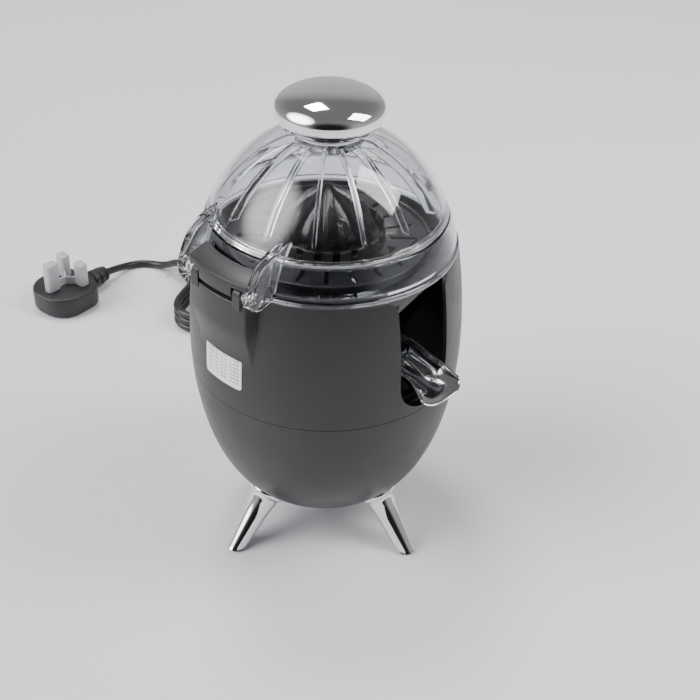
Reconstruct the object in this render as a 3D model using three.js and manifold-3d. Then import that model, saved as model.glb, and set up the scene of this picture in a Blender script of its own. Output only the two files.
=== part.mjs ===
// Citrus press juicer: an egg-shaped electric press on four splayed chrome legs, with a hinged clear lid.
// Millimetres, +Z up, the table at z = 0. The spindle is on the Z axis, the spout toward -Y and the lid's
// hinge toward -X.
import * as THREE from 'three';
import { mergeVertices } from 'three/addons/utils/BufferGeometryUtils.js';
import Module from 'manifold-3d';

const wasm = await Module();
wasm.setup();

// ---- driving dimensions ------------------------------------------------------------------------
const CLEARANCE = 0.3;          // between pieces that touch or seat on each other
const WALL = 2.6;               // moulded casing wall
const CLEAR_WALL = 2.4;         // clear plastic wall
const ROUND = 36;               // facets round the casing
const SMALL_ROUND = 16;         // facets round shafts, screws and legs

const EGG_RADIUS = 86.5;        // casing, at its widest
const WIDEST_Z = 140;
const BASE_Z = 27.5;            // underside of the lower shell
const BASE_RADIUS = 40;         // flat round its underside
const BELLY_REACH = 30;         // how far the egg's curve runs out from the base edge before it climbs
const BELLY_RISE = 5;
const BELLY_PULL = 52;          // how far below the widest line the side is still upright
const SHOULDER_SPAN = 179;      // vertical semi-axis of the upper shell's curve
const SEAM_Z = 124.5;           // parting line of the two shells
const SEAM_GAP = 0.5;
const TONGUE_HEIGHT = 4;
const RIM_Z = 207;              // top edge of the upper shell

const CAP_INSET = 4.2;          // the clear cap's curve is this much slimmer than the casing
const CAP_CENTRE_Z = 184;
const CAP_RISE = 99;            // vertical semi-axis of the cap's curve
const FLANGE_THICK = 2.4;       // juice collector's flange on the casing rim
const BAND_Z = 212.6;           // where the collector's clear band starts
const PARTING_Z = 228.3;        // top of the collector's band, under the lid
const LID_GAP = 0.9;
const LID_RIM_WIDTH = 6;        // inward flange of the lid's rim
const LID_RIM_THICK = 1.9;
const LID_TOP_RADIUS = 22.5;    // flat under the knob

const COLLECTOR_FLOOR_Z = 151;
const COLLECTOR_FLOOR_RADIUS = 50;
const HUB_RADIUS = 10.5;        // the collector's centre tube
const HUB_TOP_Z = 203;
const GUSSET_COUNT = 6;
const STRAINER_RADIUS = 63;
const STRAINER_Z = 206.2;
const STRAINER_THICK = 1.9;
const COLLAR_RADIUS = 35.5;     // castellated collar round the cone
const COLLAR_TOP_Z = 217;
const COLLAR_TEETH = 20;
const SLOT_COUNT = 20;

const REAMER_RADIUS = 29;
const REAMER_Z = 212;
const REAMER_HEIGHT = 33;
const REAMER_RIBS = 8;
const RIB_DEPTH = 2.8;
const SHAFT_RADIUS = 4;

const NOTCH_RADIUS = 20.15;     // round-bottomed notch for the spout
const NOTCH_CENTRE_Z = 148;
const NOTCH_CORNER = 8;
const SPOUT_HALF_WIDTH = 14.5;
const SPOUT_DEPTH = 11;
const SPOUT_SHEET = 1.2;
const SPOUT_REACH = 103;        // lip, from the spindle axis
const SPOUT_BACK = 60;
const SPOUT_EDGE_Z = 156;       // top edge at the back end
const SPOUT_FALL = 7;           // over its length
const SPOUT_PIVOT = new THREE.Vector2(-68, 149);   // y and z of its stub pins
const STUB_RADIUS = 2;

const BOSS_OUT = 4.2;           // hinge boss, out from the casing's widest radius
const BOSS_HALF = 24.4;
const BOSS_Z = 187;
const BOSS_TOP_Z = 206.5;
const BLOCK_GAP = 3;            // between the boss and the hinge block
const BLOCK_HEIGHT = 10;        // outer face of the hinge block
const BLOCK_RISE = 4;           // its top slopes up to the lid
const PIVOT_INSET = 4.5;        // hinge axis, in from the block's outer face
const PIVOT_Z = 212;
const PIN_RADIUS = 1.6;
const EAR_RADIUS = 3.6;
const EAR_WIDTH = 6;
const EAR_CENTRE = 18;
const WING_INNER = 25.6;        // inner fin of each lid arm, from the middle
const WING_OUTER = 32.4;
const WING_THICK = 2;
const KNUCKLE_RADIUS = 5.3;

const PRESS_FINS = 14;          // fins of the clear fruit press inside the lid
const FIN_THICK = 2;
const FIN_DEPTH = 5;
const KNOB_RADIUS = 32.6;
const KNOB_HALF_HEIGHT = 13.5;
const KNOB_CENTRE_Z = 293;
const NECK_RADIUS = 22;
const NECK_HEIGHT = 3.8;
const SCREW_RADIUS = 2.5;

const LEG_SPREAD = 81;          // foot centre, from the axis
const LEG_ROOT = 52.5;          // leg flange centre on the casing, from the axis
const LEG_FLANGE = 12.5;
const LEG_SHAFT = 7.4;          // half way down
const LEG_FOOT = 5.6;
const PAD_RADIUS = 4.8;
const PAD_HEIGHT = 2;

const CHASSIS_Z = 96;
const CHASSIS_THICK = 3;
const COLUMN_RADIUS = 4.5;
const COLUMN_PLACE = 60;
const GEAR_MODULE = 1;
const PINION_TEETH = 10;
const CLUSTER_LARGE_TEETH = 40;
const CLUSTER_SMALL_TEETH = 12;
const OUTPUT_TEETH = 42;
const BACKLASH = 0.35;          // added to each pair's centre distance
const CLUSTER_ANGLE = 90;       // degrees, from +X, round the spindle
const MOTOR_ANGLE = 150;        // degrees, from +X, round the cluster axle
const MOTOR_RADIUS = 20;
const MOTOR_HEIGHT = 38;
const DECK_THICK = 2.5;
const SPRING_RADIUS = 5;
const SPRING_WIRE = 0.6;
const SPRING_TURNS = 6;
const SPRING_FOOT_Z = 60;
const SPRING_TOP_Z = 77;

const CORD_RADIUS = 3.1;
const GLAND_ANGLE = 68;         // degrees, from +X, where the lead leaves the casing
const GLAND_Z = 62;
const GLAND_LENGTH = 26;
const FOLD_RADIUS = 18.6;       // of the hank's end loops, to the middle of the cord
const FOLD_PLACE = 39.3;        // centre of each end loop, from the hank's middle
const PINCH = 6.2;              // half the distance between its runs where they are tied
const HANK_HEIGHT = 19.6;       // three cords high
const HANK_CENTRE = new THREE.Vector2(101.5, 256.5);
const HANK_ANGLE = 49;          // degrees, from +X, of its long axis
const HANK_LIFT = 1.3;          // the tie passes under it
const TIE_THICK = 0.8;
const TIE_HALF = 2;             // half its width along the hank
const PLUG_EARTH = new THREE.Vector2(-3, 324);     // earth pin; the plug's length runs along +X
const PIN_PITCH = 22.2;
const PLUG_ANGLE = 6;           // degrees, from +X, of the plug's length
const PLUG_WIDTH = 49;
const PLUG_LENGTH = 47;
const PLUG_THICK = 19;
const PLUG_NOSE = 13;           // from the earth pin to the plug's rounded end
const RELIEF_LENGTH = 23;
const PIN_LENGTH = 22.7;
const COVER_WALL = 1.6;
const COVER_GAP = 0.5;

// ---- making and joining solids -----------------------------------------------------------------
const v2 = (x, y) => new THREE.Vector2(x, y);
const v3 = (x, y, z) => new THREE.Vector3(x, y, z);
const radians = THREE.MathUtils.degToRad;
const group = new THREE.Group();

function toSolid(geometry) {
  const bare = geometry.clone();
  bare.deleteAttribute('normal');
  bare.deleteAttribute('uv');
  const merged = mergeVertices(bare, 1e-4);
  const index = merged.index.array;
  const triangles = [];
  for (let i = 0; i < index.length; i += 3) {
    const [a, b, c] = [index[i], index[i + 1], index[i + 2]];
    if (a !== b && b !== c && c !== a) triangles.push(a, b, c);
  }
  const vertProperties = new Float32Array(merged.attributes.position.array);
  const triVerts = new Uint32Array(triangles);
  return new wasm.Manifold(new wasm.Mesh({ numProp: 3, vertProperties, triVerts }));
}

function toGeometry(solid) {
  const mesh = solid.getMesh();
  const geometry = new THREE.BufferGeometry();
  geometry.setAttribute('position', new THREE.BufferAttribute(mesh.vertProperties, 3));
  geometry.setIndex(new THREE.BufferAttribute(mesh.triVerts, 1));
  const faceted = geometry.toNonIndexed();
  faceted.computeVertexNormals();
  return faceted;
}

function place(name, shape, material) {
  const geometry = shape.isBufferGeometry ? shape : toGeometry(shape);
  const mesh = new THREE.Mesh(geometry, material);
  mesh.name = name;
  group.add(mesh);
}

// A profile of (radius, height) points turned about +Z. It may run either way round, and a profile with a
// point on the axis is closed along the axis, any other one from its last point to its first.
function turned(profile, segments = ROUND) {
  let area = 0;
  profile.forEach((p, i) => {
    const q = profile[(i + 1) % profile.length];
    area += p.x * q.y - q.x * p.y;
  });
  const points = area > 0 ? [...profile] : [...profile].reverse();
  const solidCore = points[0].x === 0 && points.at(-1).x === 0;
  if (!solidCore) points.push(points[0].clone());
  return new THREE.LatheGeometry(points, segments).rotateX(Math.PI / 2);
}

const disc = (radius, low, high, segments = SMALL_ROUND) => turned(
  [v2(0, low), v2(radius, low), v2(radius, high), v2(0, high)], segments);

const washer = (inner, outer, low, high, segments = SMALL_ROUND) => turned(
  [v2(inner, low), v2(outer, low), v2(outer, high), v2(inner, high)], segments);

function box(x0, x1, y0, y1, z0, z1) {
  const geometry = new THREE.BoxGeometry(x1 - x0, y1 - y0, z1 - z0);
  return geometry.translate((x0 + x1) / 2, (y0 + y1) / 2, (z0 + z1) / 2);
}

const outline = (points) => new THREE.Shape(points);

const plate = (shape, thick, curveSegments = 12) => new THREE.ExtrudeGeometry(
  shape, { depth: thick, bevelEnabled: false, curveSegments });

// A plate whose outline is given in (x, z), standing across Y from y0 to y1.
const upright = (shape, y0, y1) => plate(shape, y1 - y0).rotateX(Math.PI / 2).translate(0, y1, 0);

// A plate whose outline is given in (radius, z), standing on a ray from the axis.
const radialPlate = (shape, thick, angle) => upright(shape, -thick / 2, thick / 2).rotateZ(angle);

const along = (geometry, radius, angle) => geometry.translate(radius, 0, 0).rotateZ(angle);

function union(first, ...rest) {
  return rest.reduce((sum, piece) => sum.add(toSolid(piece)), toSolid(first));
}

function cut(solid, ...tools) {
  return tools.reduce((rest, tool) => rest.subtract(toSolid(tool)), solid);
}

// ---- the egg's outline -------------------------------------------------------------------------
const lowerCurve = new THREE.CubicBezierCurve(
  v2(BASE_RADIUS, BASE_Z),
  v2(BASE_RADIUS + BELLY_REACH, BASE_Z + BELLY_RISE),
  v2(EGG_RADIUS, WIDEST_Z - BELLY_PULL),
  v2(EGG_RADIUS, WIDEST_Z),
);

function parameterAt(z) {
  let [low, high] = [0, 1];
  for (let step = 0; step < 40; step += 1) {
    const middle = (low + high) / 2;
    if (lowerCurve.getPoint(middle).y < z) low = middle;
    else high = middle;
  }
  return low;
}

const shoulderRadius = (z) => EGG_RADIUS * Math.sqrt(1 - ((z - WIDEST_Z) / SHOULDER_SPAN) ** 2);
const casingRadius = (z) => (z < WIDEST_Z ? lowerCurve.getPoint(parameterAt(z)).x : shoulderRadius(z));
const CAP_RADIUS = EGG_RADIUS - CAP_INSET;
const capRadius = (z) => CAP_RADIUS * Math.sqrt(1 - ((z - CAP_CENTRE_Z) / CAP_RISE) ** 2);
const capHeight = (radius) => CAP_CENTRE_Z + CAP_RISE * Math.sqrt(1 - (radius / CAP_RADIUS) ** 2);

function lowerPoints(z0, z1, count) {
  const [t0, t1] = [parameterAt(z0), parameterAt(z1)];
  return Array.from({ length: count }, (_, i) => lowerCurve.getPoint(t0 + (t1 - t0) * i / (count - 1)));
}

function sampled(radiusAt, z0, z1, count) {
  return Array.from({ length: count }, (_, i) => {
    const z = z0 + (z1 - z0) * i / (count - 1);
    return v2(radiusAt(z), z);
  });
}

// The cap's curve in equal steps of angle, from a height to a radius near the top.
function capPoints(z0, topRadius, count) {
  const a0 = Math.asin((z0 - CAP_CENTRE_Z) / CAP_RISE);
  const a1 = Math.acos(topRadius / CAP_RADIUS);
  return Array.from({ length: count }, (_, i) => {
    const a = a0 + (a1 - a0) * i / (count - 1);
    return v2(CAP_RADIUS * Math.cos(a), CAP_CENTRE_Z + CAP_RISE * Math.sin(a));
  });
}

// An outline that climbs on the outside, moved inward by a distance along its normals.
function inset(points, distance) {
  return points.map((p, i) => {
    const before = points[Math.max(i - 1, 0)];
    const after = points[Math.min(i + 1, points.length - 1)];
    const along2 = after.clone().sub(before).normalize();
    return v2(p.x - along2.y * distance, p.y + along2.x * distance);
  });
}

// ---- materials ---------------------------------------------------------------------------------
const material = (color, roughness, metalness, opacity = 1) => new THREE.MeshStandardMaterial(
  { color, roughness, metalness, opacity, transparent: opacity < 1 });

const charcoal = material(0x2b2a2a, 0.42, 0);
const hingePlastic = material(0x3a3a3c, 0.45, 0);
const blackPlastic = material(0x121214, 0.3, 0);
const clearPlastic = material(0xdfe3e8, 0.05, 0, 0.3);
const smokePlastic = material(0xb9bcc2, 0.08, 0, 0.45);
const chrome = material(0xe8e8ea, 0.06, 1);
const steel = material(0xb9babd, 0.25, 1);
const brass = material(0xb58d3d, 0.3, 1);
const rubber = material(0x1a1a1b, 0.85, 0);
const nylon = material(0xe6e1d2, 0.5, 0);
const labelPaper = material(0xf4f4f2, 0.5, 0);
const cordPlastic = material(0x161617, 0.55, 0);
const coverPlastic = material(0xd9dadd, 0.3, 0, 0.6);

// ---- casing: two shells, the cover under them --------------------------------------------------
const seamRadius = casingRadius(SEAM_Z);
const tongueIn = seamRadius - WALL - 1.8;       // the deck rests on the tongue's inner part
const lowerOutside = lowerPoints(BASE_Z, SEAM_Z, 9);
const upperOutside = [...lowerPoints(SEAM_Z + SEAM_GAP, WIDEST_Z, 2),
  ...sampled(shoulderRadius, 156, RIM_Z, 5)];
const wholeOutside = [...lowerOutside, ...upperOutside];
const columnAngles = [0, 90, 180, 270].map(radians);
const OPENING_RADIUS = BASE_RADIUS - 10;
const BASE_SCREW_PLACE = BASE_RADIUS - 5;
const SCREW_PILOT = 1.2;
const SCREW_SHANK = 1.1;
const SCREW_HEAD = 2.8;

// The room that a solid casing would fill, grown (or shrunk when negative) all round.
const casingSolid = (grow) => {
  const side = inset(wholeOutside, -grow);
  const top = side.at(-1);
  return turned([v2(0, BASE_Z - grow), ...side, v2(top.x, RIM_Z + 20), v2(0, RIM_Z + 20)]);
};

{
  const tongueOut = seamRadius - WALL / 2 - CLEARANCE / 2;
  const inside = inset(lowerOutside, WALL);
  const profile = [
    ...lowerOutside,
    v2(tongueOut, SEAM_Z),
    v2(tongueOut, SEAM_Z + TONGUE_HEIGHT),
    v2(tongueIn, SEAM_Z + TONGUE_HEIGHT),
    v2(tongueIn, SEAM_Z - 2),
    v2(casingRadius(SEAM_Z - 5) - WALL, SEAM_Z - 5),
    ...inside.slice(1, -1).reverse(),
    v2(OPENING_RADIUS, BASE_Z + WALL),
    v2(OPENING_RADIUS, BASE_Z),
  ];
  const columns = columnAngles.map((angle) => {
    const post = disc(COLUMN_RADIUS, BASE_Z, CHASSIS_Z - CLEARANCE, 12);
    const column = toSolid(along(post, COLUMN_PLACE, angle));
    return column.intersect(toSolid(casingSolid(-WALL / 2)));
  });
  const screwPosts = columnAngles.map((angle) => along(
    disc(3.4, BASE_Z + 1, BASE_Z + 11, 12), BASE_SCREW_PLACE, angle));
  const pilots = columnAngles.flatMap((angle) => [
    along(disc(SCREW_PILOT, BASE_Z - 1, BASE_Z + 9, 8), BASE_SCREW_PLACE, angle),
    along(disc(SCREW_PILOT, CHASSIS_Z - 10, CHASSIS_Z + 1, 8), COLUMN_PLACE, angle),
  ]);
  const bore = along(disc(CORD_RADIUS + 2.4, -10, 10, 12).rotateY(Math.PI / 2), casingRadius(GLAND_Z), 0);
  bore.translate(0, 0, GLAND_Z).rotateZ(radians(GLAND_ANGLE));
  const shell = columns.reduce((sum, column) => sum.add(column), union(turned(profile), ...screwPosts));
  place('lower_shell', cut(shell, ...pilots, bore), charcoal);
}

const bossOut = EGG_RADIUS + BOSS_OUT;
const pivotX = -(bossOut - PIVOT_INSET);
const pivotRod = (radius, y0, y1, segments = 16) => disc(radius, y0, y1, segments)
  .rotateX(-Math.PI / 2).translate(pivotX, 0, PIVOT_Z);

function arcBand(outer, inner, half) {
  const reach = Math.asin(half / outer);
  const shape = new THREE.Shape();
  shape.absarc(0, 0, outer, Math.PI - reach, Math.PI + reach, false);
  shape.lineTo(-inner, -half);
  shape.lineTo(-inner, half);
  return shape;
}

{
  const inside = inset(upperOutside, WALL);
  const groove = seamRadius - WALL / 2 + CLEARANCE / 2;
  const profile = [
    ...upperOutside,
    v2(inside.at(-1).x, RIM_Z),
    ...inside.slice(1, -1).reverse(),
    v2(inside[0].x, SEAM_Z + TONGUE_HEIGHT + CLEARANCE),
    v2(groove, SEAM_Z + TONGUE_HEIGHT + CLEARANCE),
    v2(groove, SEAM_Z + SEAM_GAP),
  ];
  const notch = new THREE.Shape();
  notch.absarc(0, NOTCH_CENTRE_Z, NOTCH_RADIUS, Math.PI, 2 * Math.PI, false);
  notch.lineTo(NOTCH_RADIUS, RIM_Z - NOTCH_CORNER);
  notch.absarc(NOTCH_RADIUS + NOTCH_CORNER, RIM_Z - NOTCH_CORNER, NOTCH_CORNER, Math.PI, Math.PI / 2, true);
  notch.lineTo(NOTCH_RADIUS + NOTCH_CORNER, RIM_Z + 5);
  notch.lineTo(-NOTCH_RADIUS - NOTCH_CORNER, RIM_Z + 5);
  notch.lineTo(-NOTCH_RADIUS - NOTCH_CORNER, RIM_Z);
  notch.absarc(-NOTCH_RADIUS - NOTCH_CORNER, RIM_Z - NOTCH_CORNER, NOTCH_CORNER, Math.PI / 2, 0, true);
  const boss = plate(arcBand(bossOut, EGG_RADIUS - 14, BOSS_HALF), BOSS_TOP_Z - BOSS_Z)
    .translate(0, 0, BOSS_Z);
  const room = turned([v2(0, SEAM_Z), ...inside, v2(inside.at(-1).x, RIM_Z + 20), v2(0, RIM_Z + 20)]);
  const ears = [-EAR_CENTRE, EAR_CENTRE].flatMap((y) => [
    pivotRod(EAR_RADIUS, y - EAR_WIDTH / 2, y + EAR_WIDTH / 2),
    box(pivotX - EAR_RADIUS, pivotX + EAR_RADIUS, y - EAR_WIDTH / 2, y + EAR_WIDTH / 2, BOSS_TOP_Z - 3,
      PIVOT_Z),
  ]);
  const solid = union(turned(profile), boss, ...ears);
  const pinHole = pivotRod(PIN_RADIUS + CLEARANCE / 2, -BOSS_HALF, BOSS_HALF);
  place('upper_shell', cut(solid, upright(notch, -EGG_RADIUS - 10, -EGG_RADIUS / 2), room, pinHole),
    charcoal);
}

const COVER_THICK = 2.4;
{
  const top = BASE_Z - CLEARANCE;
  const vents = [-2, -1, 0, 1, 2].map((i) => box(i * 8 - 1.5, i * 8 + 1.5, -12, 12, top - 5, top + 5));
  const holes = columnAngles.map((angle) => along(
    disc(SCREW_PILOT + 0.3, top - 5, top + 5, 12), BASE_SCREW_PLACE, angle));
  const cover = disc(BASE_RADIUS - 1, top - COVER_THICK, top, ROUND);
  place('base_cover', cut(toSolid(cover), ...vents, ...holes), blackPlastic);
}

const HEAD_HEIGHT = 1.6;
const SCREW_LENGTH = 9;

// A pan-head screw whose head's free face is at headZ. It points up or down.
function screw(name, x, y, headZ, up) {
  const way = up ? 1 : -1;
  const tip = HEAD_HEIGHT + SCREW_LENGTH;
  const profile = [
    v2(0, 0), v2(SCREW_HEAD, 0), v2(SCREW_HEAD, HEAD_HEIGHT), v2(SCREW_SHANK, HEAD_HEIGHT),
    v2(SCREW_SHANK, tip), v2(0, tip),
  ];
  place(name, turned(profile.map((p) => v2(p.x, way * p.y)), 12).translate(x, y, headZ), steel);
}

columnAngles.forEach((angle, i) => {
  const [x, y] = [Math.cos(angle), Math.sin(angle)];
  const under = BASE_Z - CLEARANCE - COVER_THICK - CLEARANCE - HEAD_HEIGHT;
  screw(`base_screw_${i + 1}`, BASE_SCREW_PLACE * x, BASE_SCREW_PLACE * y, under, true);
  const over = CHASSIS_Z + CHASSIS_THICK + CLEARANCE + HEAD_HEIGHT;
  screw(`chassis_screw_${i + 1}`, COLUMN_PLACE * x, COLUMN_PLACE * y, over, false);
});

// ---- legs: polished trumpets, each seated on the casing, with a rubber pad ----------------------
{
  const rootZ = lowerPoints(BASE_Z, SEAM_Z, 200).find((p) => p.x >= LEG_ROOT).y;
  const lean = Math.atan2(LEG_SPREAD - LEG_ROOT, rootZ);
  const reach = Math.hypot(LEG_SPREAD - LEG_ROOT, rootZ) + 8;
  const profile = [
    v2(0, 7), v2(LEG_FLANGE, 7), v2(LEG_FLANGE, -0.8), v2(LEG_FLANGE - 0.6, -1.6), v2(LEG_FLANGE - 2.8, -3.2),
    v2(LEG_SHAFT + 2.3, -7), v2(LEG_SHAFT + 0.9, -13), v2(LEG_SHAFT, -22), v2(LEG_FOOT, 8 - reach),
    v2(LEG_FOOT, -reach), v2(0, -reach),
  ];
  const names = { right: 0, rear: 90, left: 180, front: 270 };
  Object.entries(names).forEach(([side, degrees]) => {
    const leg = turned(profile, SMALL_ROUND).rotateY(-lean).translate(LEG_ROOT, 0, rootZ);
    leg.rotateZ(radians(degrees));
    const floor = box(-150, 150, -150, 150, -30, PAD_HEIGHT + CLEARANCE);
    place(`leg_${side}`, cut(toSolid(leg), casingSolid(CLEARANCE), floor), chrome);
    const pad = along(disc(PAD_RADIUS, 0, PAD_HEIGHT), LEG_SPREAD - PAD_HEIGHT / 2, radians(degrees));
    place(`foot_pad_${side}`, pad, rubber);
  });
}

// ---- chassis, motor and gears ------------------------------------------------------------------
const gearCentre = (pairTeeth, angle) => {
  const distance = pairTeeth * GEAR_MODULE / 2 + BACKLASH;
  return v2(distance * Math.cos(radians(angle)), distance * Math.sin(radians(angle)));
};
const clusterPlace = gearCentre(OUTPUT_TEETH + CLUSTER_SMALL_TEETH, CLUSTER_ANGLE);
const motorPlace = gearCentre(PINION_TEETH + CLUSTER_LARGE_TEETH, MOTOR_ANGLE).add(clusterPlace);
const chassisTop = CHASSIS_Z + CHASSIS_THICK;
const LARGE_GEAR_Z = chassisTop + 4;
const GEAR_FACE = 5;
const OUTPUT_GEAR_Z = LARGE_GEAR_Z + GEAR_FACE + 1.5;
const AXLE_RADIUS = 2;

function gear(teeth, phase, low, high) {
  const pitch = teeth * GEAR_MODULE / 2;
  const step = 2 * Math.PI / teeth;
  const points = [];
  for (let tooth = 0; tooth < teeth; tooth += 1) {
    const middle = phase + tooth * step;
    const corner = (radius, share) => v2(
      radius * Math.cos(middle + share * step), radius * Math.sin(middle + share * step));
    points.push(corner(pitch - 1.2 * GEAR_MODULE, -0.33), corner(pitch + 0.85 * GEAR_MODULE, -0.1));
    points.push(corner(pitch + 0.85 * GEAR_MODULE, 0.1), corner(pitch - 1.2 * GEAR_MODULE, 0.33));
  }
  return plate(outline(points), high - low).translate(0, 0, low);
}

{
  const clusterAngle = radians(CLUSTER_ANGLE);
  const motorAngle = radians(MOTOR_ANGLE);
  const gapFacing = (angle, teeth) => angle + Math.PI + Math.PI / teeth;
  const [kx, ky] = [clusterPlace.x, clusterPlace.y];
  const [mx, my] = [motorPlace.x, motorPlace.y];

  const shaftHole = (radius) => disc(radius, CHASSIS_Z - 30, 150);
  const screwHoles = columnAngles.map((angle) => along(
    disc(SCREW_PILOT + 0.3, CHASSIS_Z - 5, chassisTop + 5, 12), COLUMN_PLACE, angle));
  const chassisBody = union(
    disc(COLUMN_PLACE + 7, CHASSIS_Z, chassisTop, 36),
    disc(AXLE_RADIUS + 2, chassisTop - 1, LARGE_GEAR_Z - CLEARANCE, 16).translate(kx, ky, 0),
  );
  const motorHole = disc(6, CHASSIS_Z - 5, chassisTop + 5).translate(mx, my, 0);
  const axleHole = disc(AXLE_RADIUS + CLEARANCE / 2, CHASSIS_Z + 1, LARGE_GEAR_Z + 2).translate(kx, ky, 0);
  const bushHole = shaftHole(SHAFT_RADIUS + 3);
  place('chassis', cut(chassisBody, bushHole, motorHole, axleHole, ...screwHoles), steel);

  const bushIn = SHAFT_RADIUS + 0.2;
  const bushOut = SHAFT_RADIUS + 3 - CLEARANCE;
  place('lower_bush', turned([
    v2(bushIn, CHASSIS_Z - 2), v2(bushOut, CHASSIS_Z - 2), v2(bushOut, chassisTop + CLEARANCE),
    v2(bushOut + 2, chassisTop + CLEARANCE), v2(bushOut + 2, chassisTop + 2), v2(bushIn, chassisTop + 2),
  ], SMALL_ROUND), brass);

  const canTop = CHASSIS_Z - CLEARANCE;
  const canFoot = canTop - MOTOR_HEIGHT;
  place('motor_can', turned([
    v2(MOTOR_RADIUS - 1.5, canFoot), v2(MOTOR_RADIUS, canFoot), v2(MOTOR_RADIUS, canTop), v2(5, canTop),
    v2(5, canTop - 1.5), v2(MOTOR_RADIUS - 1.5, canTop - 1.5),
  ], 32).translate(mx, my, 0), steel);
  place('motor_end_cap', turned([
    v2(3, canFoot - 2.8), v2(9, canFoot - 2.8), v2(MOTOR_RADIUS - 3, canFoot - CLEARANCE - 1.2),
    v2(MOTOR_RADIUS - 3, canFoot - CLEARANCE), v2(3, canFoot - CLEARANCE),
  ], 32).translate(mx, my, 0), blackPlastic);
  const rotorParts = [
    disc(2.2, canFoot - 4, LARGE_GEAR_Z + GEAR_FACE + 1, 16),
    disc(MOTOR_RADIUS - 5, canFoot + 6, canTop - 8, 24),
    gear(PINION_TEETH, motorAngle + Math.PI, LARGE_GEAR_Z - 0.5, LARGE_GEAR_Z + GEAR_FACE + 0.5),
  ].map((piece) => piece.translate(mx, my, 0));
  place('motor_rotor', union(...rotorParts), brass);

  const axle = disc(AXLE_RADIUS, CHASSIS_Z + 1 + CLEARANCE, OUTPUT_GEAR_Z + 11, 16);
  place('cluster_axle', axle.translate(kx, ky, 0), steel);
  const cluster = union(
    gear(CLUSTER_LARGE_TEETH, gapFacing(motorAngle + Math.PI, CLUSTER_LARGE_TEETH), LARGE_GEAR_Z,
      LARGE_GEAR_Z + GEAR_FACE),
    gear(CLUSTER_SMALL_TEETH, clusterAngle + Math.PI, LARGE_GEAR_Z + 1, OUTPUT_GEAR_Z + 8),
  );
  const clusterBore = disc(AXLE_RADIUS + 0.2, 0, 200, 16);
  place('cluster_gear', cut(cluster, clusterBore).translate([kx, ky, 0]), nylon);
  const output = union(
    gear(OUTPUT_TEETH, gapFacing(clusterAngle + Math.PI, OUTPUT_TEETH), OUTPUT_GEAR_Z, OUTPUT_GEAR_Z + 7),
    disc(SHAFT_RADIUS + 4, OUTPUT_GEAR_Z + 1, OUTPUT_GEAR_Z + 10),
  );
  place('output_gear', cut(output, shaftHole(SHAFT_RADIUS + CLEARANCE)), nylon);
}

// ---- spindle: the shaft, the collar and spring under it, the switch it starts --------------------
const COLLAR_Z = 80;            // top face of the thrust collar, under the shaft
{
  const hexTop = REAMER_Z + 15;
  const shaft = union(
    disc(SHAFT_RADIUS, COLLAR_Z + CLEARANCE, HUB_TOP_Z - 2),
    disc(SHAFT_RADIUS, HUB_TOP_Z - 4, hexTop, 6),
  );
  place('drive_shaft', shaft, steel);
  place('thrust_collar', union(
    disc(13, COLLAR_Z - 3, COLLAR_Z),
    disc(SPRING_RADIUS - SPRING_WIRE - 0.5, COLLAR_Z - 7, COLLAR_Z - 2, 16),
  ), nylon);

  const foot = box(-9, 9, -12, 12, SPRING_FOOT_Z - 3, SPRING_FOOT_Z - CLEARANCE);
  const cheek = (side) => box(
    -7, 7, side < 0 ? -16.5 : 14, side < 0 ? -14 : 16.5, SPRING_FOOT_Z - 3, CHASSIS_Z - CLEARANCE);
  const web = box(-7, 7, -16, 16, SPRING_FOOT_Z - 3, SPRING_FOOT_Z - CLEARANCE);
  place('spring_cradle', union(foot, web, cheek(-1), cheek(1)), steel);

  class SpringWire extends THREE.Curve {
    getPoint(t, target = new THREE.Vector3()) {
      const angle = 2 * Math.PI * SPRING_TURNS * t;
      const low = SPRING_FOOT_Z + SPRING_WIRE;
      const high = SPRING_TOP_Z - CLEARANCE - SPRING_WIRE;
      return target.set(SPRING_RADIUS * Math.cos(angle), SPRING_RADIUS * Math.sin(angle),
        low + (high - low) * t);
    }
  }
  place('return_spring', new THREE.ExtrudeGeometry(ring(SPRING_WIRE, 5), {
    steps: SPRING_TURNS * 10, extrudePath: new SpringWire(), bevelEnabled: false,
  }), steel);

  const plungerX = -10;
  const switchTop = COLLAR_Z - 8;
  const body = box(plungerX - 9, plungerX + 3.2, -5, 5, SPRING_FOOT_Z + CLEARANCE, switchTop);
  const well = disc(1.5, switchTop - 7, switchTop + 1, 12).translate(plungerX, 0, 0);
  place('start_switch', cut(toSolid(body), well), blackPlastic);
  const plunger = disc(1.2, switchTop - 3, COLLAR_Z - 3 - CLEARANCE, 12).translate(plungerX, 0, 0);
  place('switch_plunger', plunger, nylon);
}

function ring(radius, sides) {
  return outline(Array.from({ length: sides }, (_, i) => {
    const angle = 2 * Math.PI * i / sides;
    return v2(radius * Math.cos(angle), radius * Math.sin(angle));
  }));
}

// ---- deck over the mechanism, its shaft seal and the spout's carrier ----------------------------
const deckZ = SEAM_Z + TONGUE_HEIGHT + CLEARANCE;
const deckTop = deckZ + DECK_THICK;
{
  const sealHole = SHAFT_RADIUS + 4;
  place('mechanism_deck', washer(sealHole, seamRadius - WALL - CLEARANCE - 0.2, deckZ, deckTop, ROUND),
    blackPlastic);
  place('shaft_seal', turned([
    v2(SHAFT_RADIUS + 0.2, deckZ - 1), v2(sealHole - CLEARANCE, deckZ - 1),
    v2(sealHole - CLEARANCE, deckTop + CLEARANCE),
    v2(sealHole + 3, deckTop + CLEARANCE), v2(sealHole + 3, deckTop + 2), v2(SHAFT_RADIUS + 2, deckTop + 6),
    v2(SHAFT_RADIUS + 0.2, deckTop + 6),
  ], SMALL_ROUND), rubber);
}

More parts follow.
